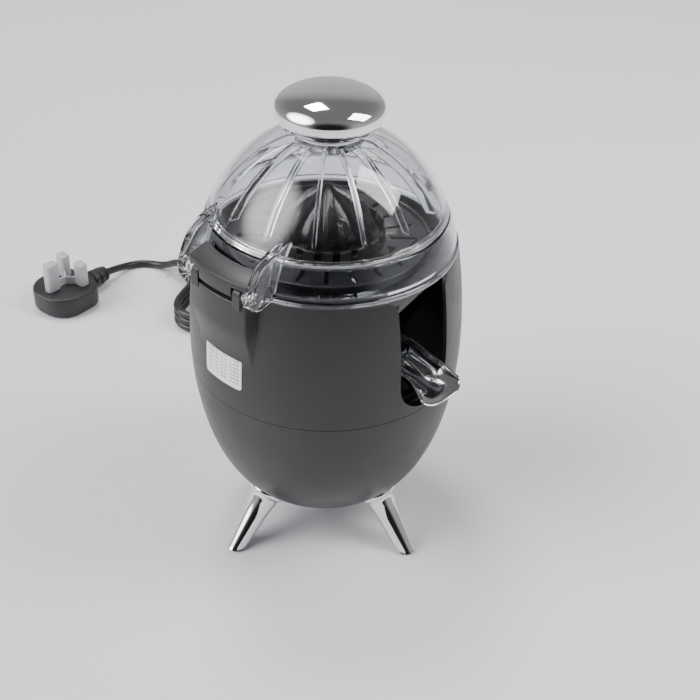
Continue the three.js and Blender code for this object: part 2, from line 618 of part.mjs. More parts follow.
const CHEEK_IN = SPOUT_HALF_WIDTH + SPOUT_SHEET + 1;
const CHEEK_THICK = 2;
{
  const foot = deckTop + CLEARANCE;
  const [pivotY, pivotZ] = [SPOUT_PIVOT.x, SPOUT_PIVOT.y];
  const front = -(casingRadius(NOTCH_CENTRE_Z) - WALL - 5);
  const cheeks = [-1, 1].map((side) => {
    const [a, b] = [side * CHEEK_IN, side * (CHEEK_IN + CHEEK_THICK)];
    return box(Math.min(a, b), Math.max(a, b), front, pivotY + 10, foot, pivotZ + 5);
  });
  const base = box(-CHEEK_IN - 1, CHEEK_IN + 1, front, pivotY + 10, foot, foot + 2);
  const hole = disc(STUB_RADIUS + CLEARANCE, -30, 30).rotateY(Math.PI / 2).translate(0, pivotY, pivotZ);
  place('spout_carrier', cut(union(base, ...cheeks), hole), blackPlastic);
}

// ---- spout: a pressed steel trough that tips up on two stub pins --------------------------------
{
  const length = SPOUT_REACH - SPOUT_BACK;
  const trough = (half, depth, lift) => {
    const shape = new THREE.Shape();
    shape.absellipse(0, lift, half, depth, Math.PI, 2 * Math.PI, false);
    return shape;
  };
  const outer = trough(SPOUT_HALF_WIDTH, SPOUT_DEPTH, 0);
  const inner = trough(SPOUT_HALF_WIDTH - SPOUT_SHEET, SPOUT_DEPTH - SPOUT_SHEET, 0);
  inner.lineTo(SPOUT_HALF_WIDTH - SPOUT_SHEET, 5);
  inner.lineTo(-SPOUT_HALF_WIDTH + SPOUT_SHEET, 5);
  const turn = Math.atan2(SPOUT_FALL, length);
  const lie = (geometry, back) => geometry.rotateX(Math.PI / 2).translate(0, back, 0).rotateX(turn)
    .translate(0, -SPOUT_BACK, SPOUT_EDGE_Z);
  const hollow = lie(plate(inner, length + 20), 10);
  const [pivotY, pivotZ] = [SPOUT_PIVOT.x, SPOUT_PIVOT.y];
  const stub = (side) => {
    const low = side < 0 ? -(CHEEK_IN + CHEEK_THICK) : SPOUT_HALF_WIDTH - SPOUT_SHEET - 0.6;
    const high = side < 0 ? -(SPOUT_HALF_WIDTH - SPOUT_SHEET - 0.6) : CHEEK_IN + CHEEK_THICK;
    return disc(STUB_RADIUS, low, high, 12).rotateY(Math.PI / 2).translate(0, pivotY, pivotZ);
  };
  const shell = toSolid(lie(plate(outer, length), 0));
  const bare = shell.subtract(toSolid(hollow));
  const pins = toSolid(stub(-1)).add(toSolid(stub(1))).subtract(toSolid(hollow));
  place('spout', bare.add(pins), steel);
}

// ---- juice collector: the clear bowl, its flange, band, centre tube and outlet ------------------
{
  const bandTop = v2(capRadius(PARTING_Z), PARTING_Z);
  const band = sampled(capRadius, BAND_Z, PARTING_Z, 3);
  const flangeZ = RIM_Z + CLEARANCE;
  const seat = casingRadius(RIM_Z) - WALL - 1;
  const outside = [
    v2(SHAFT_RADIUS + 1.5, COLLECTOR_FLOOR_Z - CLEAR_WALL),
    v2(COLLECTOR_FLOOR_RADIUS - 4, COLLECTOR_FLOOR_Z - CLEAR_WALL),
    v2(COLLECTOR_FLOOR_RADIUS + 2, COLLECTOR_FLOOR_Z + 2), v2(seat, flangeZ - 3), v2(seat, flangeZ),
    v2(casingRadius(RIM_Z), flangeZ), v2(casingRadius(RIM_Z), flangeZ + FLANGE_THICK),
    v2(capRadius(BAND_Z), flangeZ + FLANGE_THICK + 0.8),
  ];
  const inside = [
    v2(bandTop.x - CLEAR_WALL, PARTING_Z), ...inset(band, CLEAR_WALL).slice(0, -1).reverse(),
    v2(seat - CLEAR_WALL, flangeZ - 1), v2(COLLECTOR_FLOOR_RADIUS - 2, COLLECTOR_FLOOR_Z + 2.5),
    v2(COLLECTOR_FLOOR_RADIUS - 6, COLLECTOR_FLOOR_Z), v2(HUB_RADIUS, COLLECTOR_FLOOR_Z),
    v2(HUB_RADIUS, HUB_TOP_Z),
    v2(SHAFT_RADIUS + 1.5, HUB_TOP_Z),
  ];
  const room = turned([v2(0, COLLECTOR_FLOOR_Z - 1), v2(COLLECTOR_FLOOR_RADIUS, COLLECTOR_FLOOR_Z - 1),
    v2(seat - 1, flangeZ - 2), v2(0, flangeZ - 2)]);
  const gussetTop = STRAINER_Z - CLEARANCE;
  const gussetShape = outline([
    v2(STRAINER_RADIUS - 5, gussetTop), v2(STRAINER_RADIUS - 5, gussetTop - 14),
    v2(seat + 4, gussetTop - 14), v2(seat + 4, gussetTop),
  ]);
  const gussets = Array.from({ length: GUSSET_COUNT }, (_, i) => toSolid(
    radialPlate(gussetShape, 2, 2 * Math.PI * i / GUSSET_COUNT)).intersect(toSolid(room)));
  const nozzle = box(
    -9, 9, -SPOUT_BACK - 4, -COLLECTOR_FLOOR_RADIUS + 4, COLLECTOR_FLOOR_Z - 1.8, COLLECTOR_FLOOR_Z + 9);
  const channel = box(
    -7, 7, -SPOUT_BACK - 10, -COLLECTOR_FLOOR_RADIUS + 14, COLLECTOR_FLOOR_Z, COLLECTOR_FLOOR_Z + 7);
  const bowl = union(turned([...outside, ...band, ...inside]), nozzle);
  const whole = gussets.reduce((sum, gusset) => sum.add(gusset), cut(bowl, channel));
  place('juice_collector', whole, smokePlastic);
}

// ---- strainer and reaming cone ------------------------------------------------------------------
{
  const top = STRAINER_Z + STRAINER_THICK;
  const sleeve = HUB_RADIUS + 0.6;
  const profile = [
    v2(sleeve, STRAINER_Z - 8), v2(sleeve + 1.8, STRAINER_Z - 8), v2(sleeve + 1.8, STRAINER_Z),
    v2(STRAINER_RADIUS, STRAINER_Z), v2(STRAINER_RADIUS, STRAINER_Z + 5),
    v2(STRAINER_RADIUS - 1.8, STRAINER_Z + 5),
    v2(STRAINER_RADIUS - 1.8, top), v2(COLLAR_RADIUS, top), v2(COLLAR_RADIUS, COLLAR_TOP_Z),
    v2(COLLAR_RADIUS - 2, COLLAR_TOP_Z), v2(COLLAR_RADIUS - 2, top), v2(sleeve, top),
  ];
  const slots = Array.from({ length: SLOT_COUNT }, (_, i) => {
    const angle = 2 * Math.PI * (i + 0.5) / SLOT_COUNT;
    return box(COLLAR_RADIUS + 2.5, STRAINER_RADIUS - 8, -1.3, 1.3, STRAINER_Z - 2, top + 2).rotateZ(angle);
  });
  const gaps = Array.from({ length: COLLAR_TEETH }, (_, i) => {
    const angle = 2 * Math.PI * i / COLLAR_TEETH;
    const gap = box(COLLAR_RADIUS - 5, COLLAR_RADIUS + 3, -2.2, 2.2, COLLAR_TOP_Z - 4, COLLAR_TOP_Z + 2);
    return gap.rotateZ(angle);
  });
  place('strainer', cut(toSolid(turned(profile)), ...slots, ...gaps), blackPlastic);
}

{
  const ogive = (share, radius) => v2(radius * (1 - share ** 1.9), REAMER_Z + REAMER_HEIGHT * share);
  const shares = [0, 0.25, 0.45, 0.65, 0.82, 0.95];
  const coreRadius = REAMER_RADIUS - RIB_DEPTH;
  const core = turned([
    v2(0, REAMER_Z), v2(REAMER_RADIUS, REAMER_Z), v2(REAMER_RADIUS, REAMER_Z + 1.6),
    ...shares.slice(1).map((share) => ogive(share, coreRadius)), v2(0, REAMER_Z + REAMER_HEIGHT - 0.6),
  ], 24);
  const blade = (from) => outline([
    v2(0.5, REAMER_Z + 1), v2(REAMER_RADIUS - 0.2, REAMER_Z + 1),
    ...shares.filter((share) => share > 0 && share <= from).map((share) => ogive(share, REAMER_RADIUS)),
    v2(0.5, REAMER_Z + REAMER_HEIGHT * from),
  ]);
  const ribs = Array.from({ length: REAMER_RIBS },
    (_, i) => radialPlate(blade(0.95), 1.8, 2 * Math.PI * i / REAMER_RIBS));
  const shortRibs = Array.from({ length: REAMER_RIBS }, (_, i) => radialPlate(
    blade(0.45), 1.8, 2 * Math.PI * (i + 0.5) / REAMER_RIBS));
  const socket = disc(SHAFT_RADIUS + CLEARANCE, REAMER_Z - 5, REAMER_Z + 15 + CLEARANCE, 6);
  place('reamer_cone', cut(union(core, ...ribs, ...shortRibs), socket), blackPlastic);
}

// ---- lid: clear dome with two arms, the hinge block and its pin, the fruit press and the knob ----
const lidFoot = PARTING_Z + LID_GAP;
const domeTopZ = capHeight(LID_TOP_RADIUS);
const blockFoot = BOSS_TOP_Z + BLOCK_GAP;
const TONGUE = 2.4;             // half side of the square tongues that join the arms to the block
{
  const outside = capPoints(lidFoot, LID_TOP_RADIUS, 8);
  const insideCurve = inset(outside, CLEAR_WALL);
  const lidInner = insideCurve.filter(
    (p) => p.y > lidFoot + LID_RIM_THICK + 0.5 && p.y < domeTopZ - CLEAR_WALL);
  const rimInner = capRadius(lidFoot) - LID_RIM_WIDTH;
  const dome = turned([
    ...outside, v2(SCREW_RADIUS + CLEARANCE, domeTopZ), v2(SCREW_RADIUS + CLEARANCE, domeTopZ - CLEAR_WALL),
    v2(LID_TOP_RADIUS - 2, domeTopZ - CLEAR_WALL), ...[...lidInner].reverse(),
    v2(capRadius(lidFoot + LID_RIM_THICK) - CLEAR_WALL, lidFoot + LID_RIM_THICK),
    v2(rimInner, lidFoot + LID_RIM_THICK), v2(rimInner, lidFoot),
  ]);
  const keepOut = turned([
    v2(0, BOSS_TOP_Z - 10), v2(casingRadius(RIM_Z) + 1, BOSS_TOP_Z - 10),
    v2(casingRadius(RIM_Z) + 1, RIM_Z + 4),
    v2(capRadius(BAND_Z) + 1, BAND_Z), v2(capRadius(PARTING_Z) + 1, lidFoot - 0.01),
    v2(rimInner + 1, lidFoot - 0.01),
    v2(rimInner + 1, lidFoot + LID_RIM_THICK), ...inset(outside, CLEAR_WALL / 2).slice(2, -1),
    v2(0, domeTopZ - CLEAR_WALL),
  ]);
  const tipZ = lidFoot + 12;
  const finShape = outline([
    v2(pivotX - KNUCKLE_RADIUS, PIVOT_Z), v2(pivotX - KNUCKLE_RADIUS + 0.6, PIVOT_Z + 5),
    v2(-capRadius(lidFoot) - 4, lidFoot + 3), v2(-capRadius(tipZ) + 6, tipZ), v2(-40, tipZ),
    v2(-40, PIVOT_Z - 2), v2(pivotX, PIVOT_Z - KNUCKLE_RADIUS),
  ]);
  const arms = [-1, 1].flatMap((side) => {
    const across = (a, b) => (side > 0 ? [a, b] : [-b, -a]);
    const [i0, i1] = across(WING_INNER, WING_INNER + WING_THICK);
    const [o0, o1] = across(WING_OUTER - WING_THICK, WING_OUTER);
    const [k0, k1] = across(WING_INNER, WING_OUTER);
    const [t0, t1] = across(EAR_CENTRE + EAR_WIDTH / 2 + 1.6, WING_INNER + 0.5);
    return [
      upright(finShape, i0, i1), upright(finShape, o0, o1), pivotRod(KNUCKLE_RADIUS, k0, k1),
      box(pivotX - TONGUE, pivotX + TONGUE, t0, t1, PIVOT_Z - TONGUE, PIVOT_Z + TONGUE),
    ];
  });
  const armSolid = cut(union(...arms), keepOut);
  const pinRoom = pivotRod(PIN_RADIUS + CLEARANCE, -BOSS_HALF, BOSS_HALF);
  place('lid_dome', toSolid(dome).add(armSolid).subtract(toSolid(pinRoom)), clearPlastic);
}

{
  const inner = capRadius(blockFoot) + 1.6;
  const slopeTop = blockFoot + BLOCK_HEIGHT + BLOCK_RISE;
  const section = turned([
    v2(inner, blockFoot), v2(bossOut, blockFoot), v2(bossOut, blockFoot + BLOCK_HEIGHT),
    v2(capRadius(slopeTop) + 2, slopeTop),
  ]);
  const half = WING_INNER - CLEARANCE;
  const slice = box(-bossOut - 5, -EGG_RADIUS / 2, -half, half, blockFoot - 5, slopeTop + 5);
  const slots = [-EAR_CENTRE, EAR_CENTRE].map((y) => {
    const room = EAR_RADIUS + 0.7;
    return box(-bossOut - 5, pivotX + room, y - EAR_WIDTH / 2 - 1, y + EAR_WIDTH / 2 + 1, blockFoot - 5,
      PIVOT_Z + room);
  });
  const sockets = [-1, 1].map((side) => {
    const [a, b] = side > 0 ? [EAR_CENTRE, half + 1] : [-half - 1, -EAR_CENTRE];
    const room = TONGUE + CLEARANCE;
    return box(pivotX - room, pivotX + room, a, b, PIVOT_Z - room, PIVOT_Z + room);
  });
  const bore = pivotRod(PIN_RADIUS + CLEARANCE / 2, -BOSS_HALF, BOSS_HALF);
  place('hinge_block', cut(toSolid(section).intersect(toSolid(slice)), ...slots, ...sockets, bore),
    hingePlastic);
  place('hinge_pin', pivotRod(PIN_RADIUS, -EAR_CENTRE - EAR_WIDTH / 2, EAR_CENTRE + EAR_WIDTH / 2), steel);
}

const pressTop = domeTopZ - CLEAR_WALL - CLEARANCE;
{
  const hub = washer(SCREW_RADIUS + CLEARANCE, LID_TOP_RADIUS - 3, pressTop - 5, pressTop, 28);
  const outside = inset(capPoints(lidFoot + 9, LID_TOP_RADIUS, 5), CLEAR_WALL + 0.8);
  const cornered = outside.filter((p) => p.y < pressTop - 1);
  const inner = inset(cornered, FIN_DEPTH);
  const fin = outline([
    ...cornered, v2(LID_TOP_RADIUS - 8, pressTop - 1), v2(LID_TOP_RADIUS - 8, pressTop - 4.5),
    ...inner.slice(1).reverse(),
  ]);
  const fins = Array.from({ length: PRESS_FINS },
    (_, i) => radialPlate(fin, FIN_THICK, 2 * Math.PI * (i + 0.5) / PRESS_FINS));
  place('fruit_press', union(hub, ...fins), clearPlastic);
}

{
  const neckFoot = domeTopZ + CLEARANCE;
  const neckTop = neckFoot + NECK_HEIGHT;
  place('knob_neck', turned([
    v2(SCREW_RADIUS + CLEARANCE, neckFoot), v2(NECK_RADIUS + 0.6, neckFoot),
    v2(NECK_RADIUS + 0.6, neckFoot + 1),
    v2(NECK_RADIUS, neckFoot + 1.4), v2(NECK_RADIUS, neckTop), v2(SCREW_RADIUS + CLEARANCE, neckTop),
  ], 32), chrome);

  const knobFoot = neckTop + CLEARANCE;
  const start = Math.asin((knobFoot - KNOB_CENTRE_Z) / KNOB_HALF_HEIGHT);
  const curve = Array.from({ length: 10 }, (_, i) => {
    const angle = start + (Math.PI / 2 - start) * i / 9;
    return v2(i === 9 ? 0 : KNOB_RADIUS * Math.cos(angle),
      KNOB_CENTRE_Z + KNOB_HALF_HEIGHT * Math.sin(angle));
  });
  const bottom = knobFoot + 13;
  place('knob', turned([
    v2(0, bottom), v2(SCREW_RADIUS + CLEARANCE, bottom), v2(SCREW_RADIUS + CLEARANCE, knobFoot), ...curve,
  ], 28), chrome);

  const headTop = pressTop - 5 - CLEARANCE;
  place('knob_screw', turned([
    v2(0, headTop - 2.6), v2(5, headTop - 2.6), v2(5, headTop), v2(SCREW_RADIUS, headTop),
    v2(SCREW_RADIUS, bottom - 1),
    v2(0, bottom - 1),
  ], SMALL_ROUND), steel);
}

// ---- rating label on the casing, under the hinge boss -------------------------------------------
{
  const [half, low, high, proud] = [15.8, 142, 164, 0.35];
  const skin = turned([
    ...sampled((z) => casingRadius(z) + proud, low, high, 5),
    ...sampled((z) => casingRadius(z) + 0.05, low, high, 5).reverse(),
  ], 144);
  place('rating_label', toSolid(skin).intersect(toSolid(box(-100, -50, -half, half, low - 5, high + 5))),
    labelPaper);
}

// ---- mains lead: gland, the stretch to the hank, the tied hank, the stretch to the plug ----------
const glandDirection = v3(Math.cos(radians(GLAND_ANGLE)), Math.sin(radians(GLAND_ANGLE)), 0);
const glandRoot = casingRadius(GLAND_Z);
{
  const gland = turned([
    v2(CORD_RADIUS - 0.1, -11), v2(CORD_RADIUS + 3.6, -11), v2(CORD_RADIUS + 3.6, -9),
    v2(CORD_RADIUS + 2, -9),
    v2(CORD_RADIUS + 2, 3.4), v2(CORD_RADIUS + 3.6, 3.4), v2(CORD_RADIUS + 3.6, 6.5),
    v2(CORD_RADIUS + 0.7, GLAND_LENGTH), v2(CORD_RADIUS - 0.1, GLAND_LENGTH),
  ], SMALL_ROUND);
  const solid = toSolid(gland).add(toSolid(disc(CORD_RADIUS, -10, GLAND_LENGTH)));
  const geometry = toGeometry(solid).rotateY(Math.PI / 2);
  place('cord_gland', geometry.translate(glandRoot, 0, GLAND_Z).rotateZ(radians(GLAND_ANGLE)), rubber);
}

const hankWay = v2(Math.cos(radians(HANK_ANGLE)), Math.sin(radians(HANK_ANGLE)));
const hankPoint = (forward, sideways) => v2(
  HANK_CENTRE.x + hankWay.x * forward + hankWay.y * sideways,
  HANK_CENTRE.y + hankWay.y * forward - hankWay.x * sideways,
);
const cordTube = (points, steps) => new THREE.ExtrudeGeometry(ring(CORD_RADIUS, 8), {
  steps, extrudePath: new THREE.CatmullRomCurve3(points, false, 'centripetal'), bevelEnabled: false,
});
const floorLift = CORD_RADIUS + 0.2;
{
  const mouth = (further, z) => glandDirection.clone()
    .multiplyScalar(glandRoot + GLAND_LENGTH + CLEARANCE + further).setZ(z);
  place('cord_to_hank', cordTube([
    mouth(0, GLAND_Z), mouth(9, 61.6), mouth(20, 58), mouth(31, 49), mouth(40, 36), mouth(49, 21),
    mouth(60, 9.5),
    mouth(72, 4.4), v3(67.8, 167.5, 3.5), v3(72.7, 179.7, floorLift), v3(74.6, 188.1, floorLift),
    v3(73.9, 196.7, floorLift), v3(72.3, 201.6, floorLift),
  ], 56), cordPlastic);
}

// The hank seen from above: two round folds, and runs between them that draw together where they are tied.
function hankOutline() {
  const fold = FOLD_RADIUS + CORD_RADIUS;
  const runs = [-1, -0.75, -0.5, -0.25, 0, 0.25, 0.5, 0.75].map((share) => {
    const flare = share * share * (3 - 2 * Math.abs(share));
    return v2(share * FOLD_PLACE, PINCH + (FOLD_RADIUS - PINCH) * flare + CORD_RADIUS);
  });
  const folds = Array.from({ length: 10 }, (_, i) => {
    const angle = Math.PI * (i / 10 - 0.5);
    return v2(FOLD_PLACE + fold * Math.cos(angle), fold * Math.sin(angle));
  });
  const half = [...runs.map((p) => v2(p.x, -p.y)), ...folds];
  return outline([...half, ...half.map((p) => v2(-p.x, -p.y))]);
}

{
  const lie = (geometry) => geometry.rotateZ(radians(HANK_ANGLE)).translate(HANK_CENTRE.x, HANK_CENTRE.y, 0);
  place('cord_hank', lie(plate(hankOutline(), HANK_HEIGHT).translate(0, 0, HANK_LIFT)), cordPlastic);

  const inY = PINCH + CORD_RADIUS + 0.5;
  const [low, high] = [HANK_LIFT - CLEARANCE, HANK_LIFT + HANK_HEIGHT + CLEARANCE];
  const bandOut = box(-TIE_HALF, TIE_HALF, -inY - TIE_THICK, inY + TIE_THICK, low - TIE_THICK,
    high + TIE_THICK);
  const bandIn = box(-TIE_HALF - 1, TIE_HALF + 1, -inY, inY, low, high);
  const tail = new THREE.ExtrudeGeometry(ring(TIE_THICK, 6), {
    steps: 8, bevelEnabled: false, extrudePath: new THREE.CatmullRomCurve3([
      v3(0, inY - 1, high + 0.4), v3(1, inY + 5, high + 1.5), v3(-1, inY + 11, high - 1),
      v3(2, inY + 19, high - 3),
    ]),
  });
  place('cord_tie', lie(toGeometry(cut(union(bandOut, tail), bandIn))), steel);
}

// The plug lies on its back, its three pins up under a transport cover, its length along local +X.
const plugTurn = radians(PLUG_ANGLE);
const onPlug = (x, y, z) => v3(
  PLUG_EARTH.x + x * Math.cos(plugTurn) - y * Math.sin(plugTurn),
  PLUG_EARTH.y + x * Math.sin(plugTurn) + y * Math.cos(plugTurn), z);
const layPlug = (geometry) => geometry.rotateZ(plugTurn).translate(PLUG_EARTH.x, PLUG_EARTH.y, 0);
const plugEnd = PLUG_LENGTH - PLUG_NOSE;
{
  const reliefEnd = onPlug(plugEnd + RELIEF_LENGTH + 2 * CLEARANCE, 0, PLUG_THICK / 2);
  place('cord_to_plug', cordTube([
    v3(104.7, 298, 12.6), v3(104.2, 305.5, 8.3), v3(102.3, 314.8, 4.4), v3(98.1, 323.8, floorLift),
    v3(91.4, 330.2, floorLift), v3(83.1, 333.6, 3.6), v3(73.2, 333.6, 5.4),
    onPlug(plugEnd + RELIEF_LENGTH + 7.5, 0, PLUG_THICK / 2 - 0.9), reliefEnd,
  ], 28), cordPlastic);

  const footprint = (shrink) => {
    const half = PLUG_WIDTH / 2 - shrink;
    const [nose, heel] = [19 - shrink, 12 - shrink];
    const [front, back] = [plugEnd - shrink, -PLUG_NOSE + shrink];
    const shape = new THREE.Shape();
    shape.absarc(front - heel, -half + heel, heel, -Math.PI / 2, 0, false);
    shape.absarc(front - heel, half - heel, heel, 0, Math.PI / 2, false);
    shape.absarc(back + nose, half - nose, nose, Math.PI / 2, Math.PI, false);
    shape.absarc(back + nose, -half + nose, nose, Math.PI, 1.5 * Math.PI, false);
    return shape;
  };
  const edge = 2;
  const belly = plate(footprint(0), PLUG_THICK - 2 * edge, 5).translate(0, 0, edge);
  const faces = plate(footprint(edge), PLUG_THICK, 5);
  const relief = turned([
    v2(0, -4), v2(8.4, -4), v2(8.4, 5), v2(7.2, 5.6), v2(7.2, 9), v2(7.8, 9.4), v2(6, RELIEF_LENGTH),
    v2(0, RELIEF_LENGTH),
  ], 12).rotateY(Math.PI / 2).translate(plugEnd, 0, PLUG_THICK / 2);
  place('plug_body', layPlug(toGeometry(union(belly, faces, relief))), rubber);
}

const PINS = [
  { name: 'earth', x: 0, y: 0, length: 8, width: 4, height: PIN_LENGTH },
  { name: 'line', x: PIN_PITCH, y: -PIN_PITCH / 2, length: 4, width: 6.35, height: PIN_LENGTH - 5 },
  { name: 'neutral', x: PIN_PITCH, y: PIN_PITCH / 2, length: 4, width: 6.35, height: PIN_LENGTH - 5 },
];
const pinBox = (pin, grow, low, high) => box(
  pin.x - pin.length / 2 - grow, pin.x + pin.length / 2 + grow,
  pin.y - pin.width / 2 - grow, pin.y + pin.width / 2 + grow, low, high);
{
  const face = PLUG_THICK + CLEARANCE;
  PINS.forEach((pin) => place(`pin_${pin.name}`, layPlug(pinBox(pin, 0, face, face + pin.height)), brass));
  const tubes = PINS.map((pin) => pinBox(pin, COVER_GAP + COVER_WALL, face, face + pin.height + 2.4));
  const holes = PINS.map((pin) => pinBox(pin, COVER_GAP, face - 1, face + pin.height + COVER_GAP));
  const centre = v2(PIN_PITCH * 0.62, 0);
  const webs = PINS.map((pin) => {
    const way = v2(pin.x, pin.y).sub(centre);
    const web = box(-0.8, way.length() - 2, -0.8, 0.8, face, face + 7).rotateZ(way.angle());
    return web.translate(centre.x, centre.y, 0);
  });
  place('pin_cover', layPlug(toGeometry(cut(union(...tubes, ...webs), ...holes))), coverPlastic);
}

// The object without its free lead, hank and plug is centred over the origin.
const LEAD_NODES = [
  'cord_to_hank', 'cord_hank', 'cord_tie', 'cord_to_plug', 'plug_body', 'pin_earth', 'pin_line',
  'pin_neutral', 'pin_cover',
];
const bounds = new THREE.Box3();
const fixedPieces = group.children.filter((mesh) => !LEAD_NODES.includes(mesh.name));
fixedPieces.forEach((mesh) => bounds.expandByObject(mesh));
const middle = bounds.getCenter(v3(0, 0, 0));
group.position.set(-middle.x, -middle.y, 0);

export default group;
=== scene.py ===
"""Citrus press juicer, its looks.

Sizes are in millimetres from the spindle's axis at table height, +Z up, the spout toward -Y and the
lid's hinge toward -X; to_row carries them to the row frame. The casing's outline is one Bezier curve
below the widest line and an ellipse above it, and the clear cap follows a slimmer ellipse. Round pieces
are profiles turned about an axis, tubes are rings carried along a path, and a few are joined and cut.
"""
import math
import bpy
import numpy as np
from mathutils import Matrix, Vector


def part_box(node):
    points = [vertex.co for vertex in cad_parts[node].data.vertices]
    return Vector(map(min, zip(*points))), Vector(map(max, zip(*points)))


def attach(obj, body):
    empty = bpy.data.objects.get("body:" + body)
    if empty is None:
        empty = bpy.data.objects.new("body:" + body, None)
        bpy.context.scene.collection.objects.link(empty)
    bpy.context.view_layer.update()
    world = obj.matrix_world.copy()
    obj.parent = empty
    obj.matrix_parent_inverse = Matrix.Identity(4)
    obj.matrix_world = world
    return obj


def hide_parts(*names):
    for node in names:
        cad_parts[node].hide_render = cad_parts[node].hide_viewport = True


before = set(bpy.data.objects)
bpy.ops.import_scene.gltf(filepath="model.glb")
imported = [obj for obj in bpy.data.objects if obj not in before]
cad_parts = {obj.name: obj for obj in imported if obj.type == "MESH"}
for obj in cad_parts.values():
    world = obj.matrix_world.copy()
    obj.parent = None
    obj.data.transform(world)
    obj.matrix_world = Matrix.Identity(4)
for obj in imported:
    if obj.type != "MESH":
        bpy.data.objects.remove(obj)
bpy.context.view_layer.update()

# ---- Camera ---------------------------------------------------------------------------------------
# It stands in front of the quarter between the hinge and the spout, 0.9 m from the axis, looking down
# at 35 degrees through a long lens. The knob is turned about the spindle, so its box gives the axis.
MM = 0.001
knob_low, knob_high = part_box("knob")
AXIS = np.array([(knob_low.x + knob_high.x) / 2, (knob_low.y + knob_high.y) / 2, 0.0])


def to_row(points):
    """Object millimetres to the row frame's metres: p * 0.001 + AXIS."""
    return np.asarray(points, float) * MM + AXIS


HEADING, PITCH, ROLL = math.radians(-46.2), math.radians(35.2), math.radians(1.88)
camera_data = bpy.data.cameras.new("camera")
camera_data.lens = 64.29
camera_data.sensor_width = 36
camera_data.clip_start = 0.05
camera = bpy.data.objects.new("camera", camera_data)
camera.matrix_world = (
    Matrix.Translation(Vector(to_row((-468.4, -471.4, 592.3)))) @ Matrix.Rotation(HEADING, 4, "Z")
    @ Matrix.Rotation(math.pi / 2 - PITCH, 4, "X") @ Matrix.Rotation(ROLL, 4, "Z"))
bpy.context.scene.collection.objects.link(camera)
bpy.context.scene.camera = camera


# ---- Mains lead -----------------------------------------------------------------------------------
# A round 6.2 mm PVC lead, 0.91 m long. It leaves the moulded gland low at the back, droops to the table,
# is folded twice round into a hank that a twist tie holds, and rises over the hank to the plug.
class Value:
    """An output socket of a material; arithmetic on it adds the Math node that works it out."""

    def __init__(self, paint, socket):
        self.paint, self.socket = paint, socket

    def math(self, operation, *inputs):
        return self.paint.node("ShaderNodeMath", inputs, operation=operation)

    def __add__(self, other): return self.math("ADD", self, other)
    def __radd__(self, other): return self.math("ADD", other, self)
    def __sub__(self, other): return self.math("SUBTRACT", self, other)
    def __rsub__(self, other): return self.math("SUBTRACT", other, self)
    def __mul__(self, other): return self.math("MULTIPLY", self, other)
    def __rmul__(self, other): return self.math("MULTIPLY", other, self)
    def above(self, edge): return self.math("GREATER_THAN", self, edge)
    def below(self, edge): return self.math("LESS_THAN", self, edge)
    def sine(self): return self.math("SINE", self)

    def ramp(self, low, high, out_low=0.0, out_high=1.0):
        """out_low below low, out_high above high, straight between them."""
        return self.paint.node("ShaderNodeMapRange", (self, low, high, out_low, out_high), clamp=True)


class Paint:
    """One material with a Principled shader. put() sets its sockets to constants or to Values."""

    def __init__(self, name, color, roughness, **constants):
        self.material = bpy.data.materials.new(name)
        self.material.use_nodes = True
        self.tree = self.material.node_tree
        self.shader = self.tree.nodes["Principled BSDF"]
        self.put(Base_Color=color, Roughness=roughness, **constants)

    def put(self, **inputs):
        for name, value in inputs.items():
            socket = self.shader.inputs[name.replace("_", " ")]
            if isinstance(value, Value):
                self.tree.links.new(value.socket, socket)
            else:
                socket.default_value = (*value, 1.0) if socket.type == "RGBA" else value
        return self

    def node(self, kind, inputs=(), output=0, **settings):
        """A node of any kind: its settings first, then its sockets by name or number."""
        node = self.tree.nodes.new(kind)
        for key, setting in settings.items():
            setattr(node, key, setting)
        for key, value in inputs.items() if isinstance(inputs, dict) else enumerate(inputs):
            if isinstance(value, Value):
                self.tree.links.new(value.socket, node.inputs[key])
            else:
                node.inputs[key].default_value = value
        return Value(self, node.outputs[output])

    def place(self, stretch=(1, 1, 1)):
        spot = self.node("ShaderNodeTexCoord", output="Object")
        return self.node("ShaderNodeVectorMath", {0: spot, 1: stretch}, operation="MULTIPLY")

    def noise(self, per_metre, detail=4.0, roughness=0.55, stretch=(1, 1, 1)):
        return self.node("ShaderNodeTexNoise", {
            "Vector": self.place(stretch), "Scale": per_metre, "Detail": detail, "Roughness": roughness})

    def mixed(self, share, first, second):
        """first where share is 0, second where it is 1."""
        ends = [color if isinstance(color, Value) else (*color, 1) for color in (first, second)]
        return self.node("ShaderNodeMix", {0: share, 6: ends[0], 7: ends[1]}, 2, data_type="RGBA")

    def bump(self, height, distance, strength=0.5):
        return self.put(Normal=self.node("ShaderNodeBump", {
            "Height": height, "Distance": distance, "Strength": strength}))


def moulded(name, dark, light, roughness, relief=0.00003, grain=2400, **constants):
    """Moulded plastic or rubber: flow marks and wiped smears in colour and gloss over a fine eroded grain."""
    paint = Paint(name, dark, roughness, **constants)
    flow, smears, fine = paint.noise(9, 3), paint.noise(42, 5, 0.62), paint.noise(grain, 2, 0.6)
    dust = paint.noise(1500, 1).ramp(0.74, 0.8)
    paint.put(
        Base_Color=paint.mixed(flow.ramp(0.35, 0.7) * 0.6 + smears * 0.25 + dust * 0.3, dark, light),
        Roughness=smears.ramp(0.3, 0.75, roughness - 0.05, roughness + 0.07) + fine * 0.04 + dust * 0.15)
    return paint.bump(fine, relief)


def link(name, shape, paint, sharp=35):
    """An object from (points in object mm, faces), smooth except at edges sharper than an angle."""
    points, faces = shape
    mesh = bpy.data.meshes.new(name)
    mesh.from_pydata(to_row(points).tolist(), [], faces)
    mesh.materials.append(paint.material)
    mesh.shade_smooth()
    mesh.set_sharp_from_angle(angle=math.radians(sharp))
    obj = bpy.data.objects.new(name, mesh)
    bpy.context.scene.collection.objects.link(obj)
    return obj


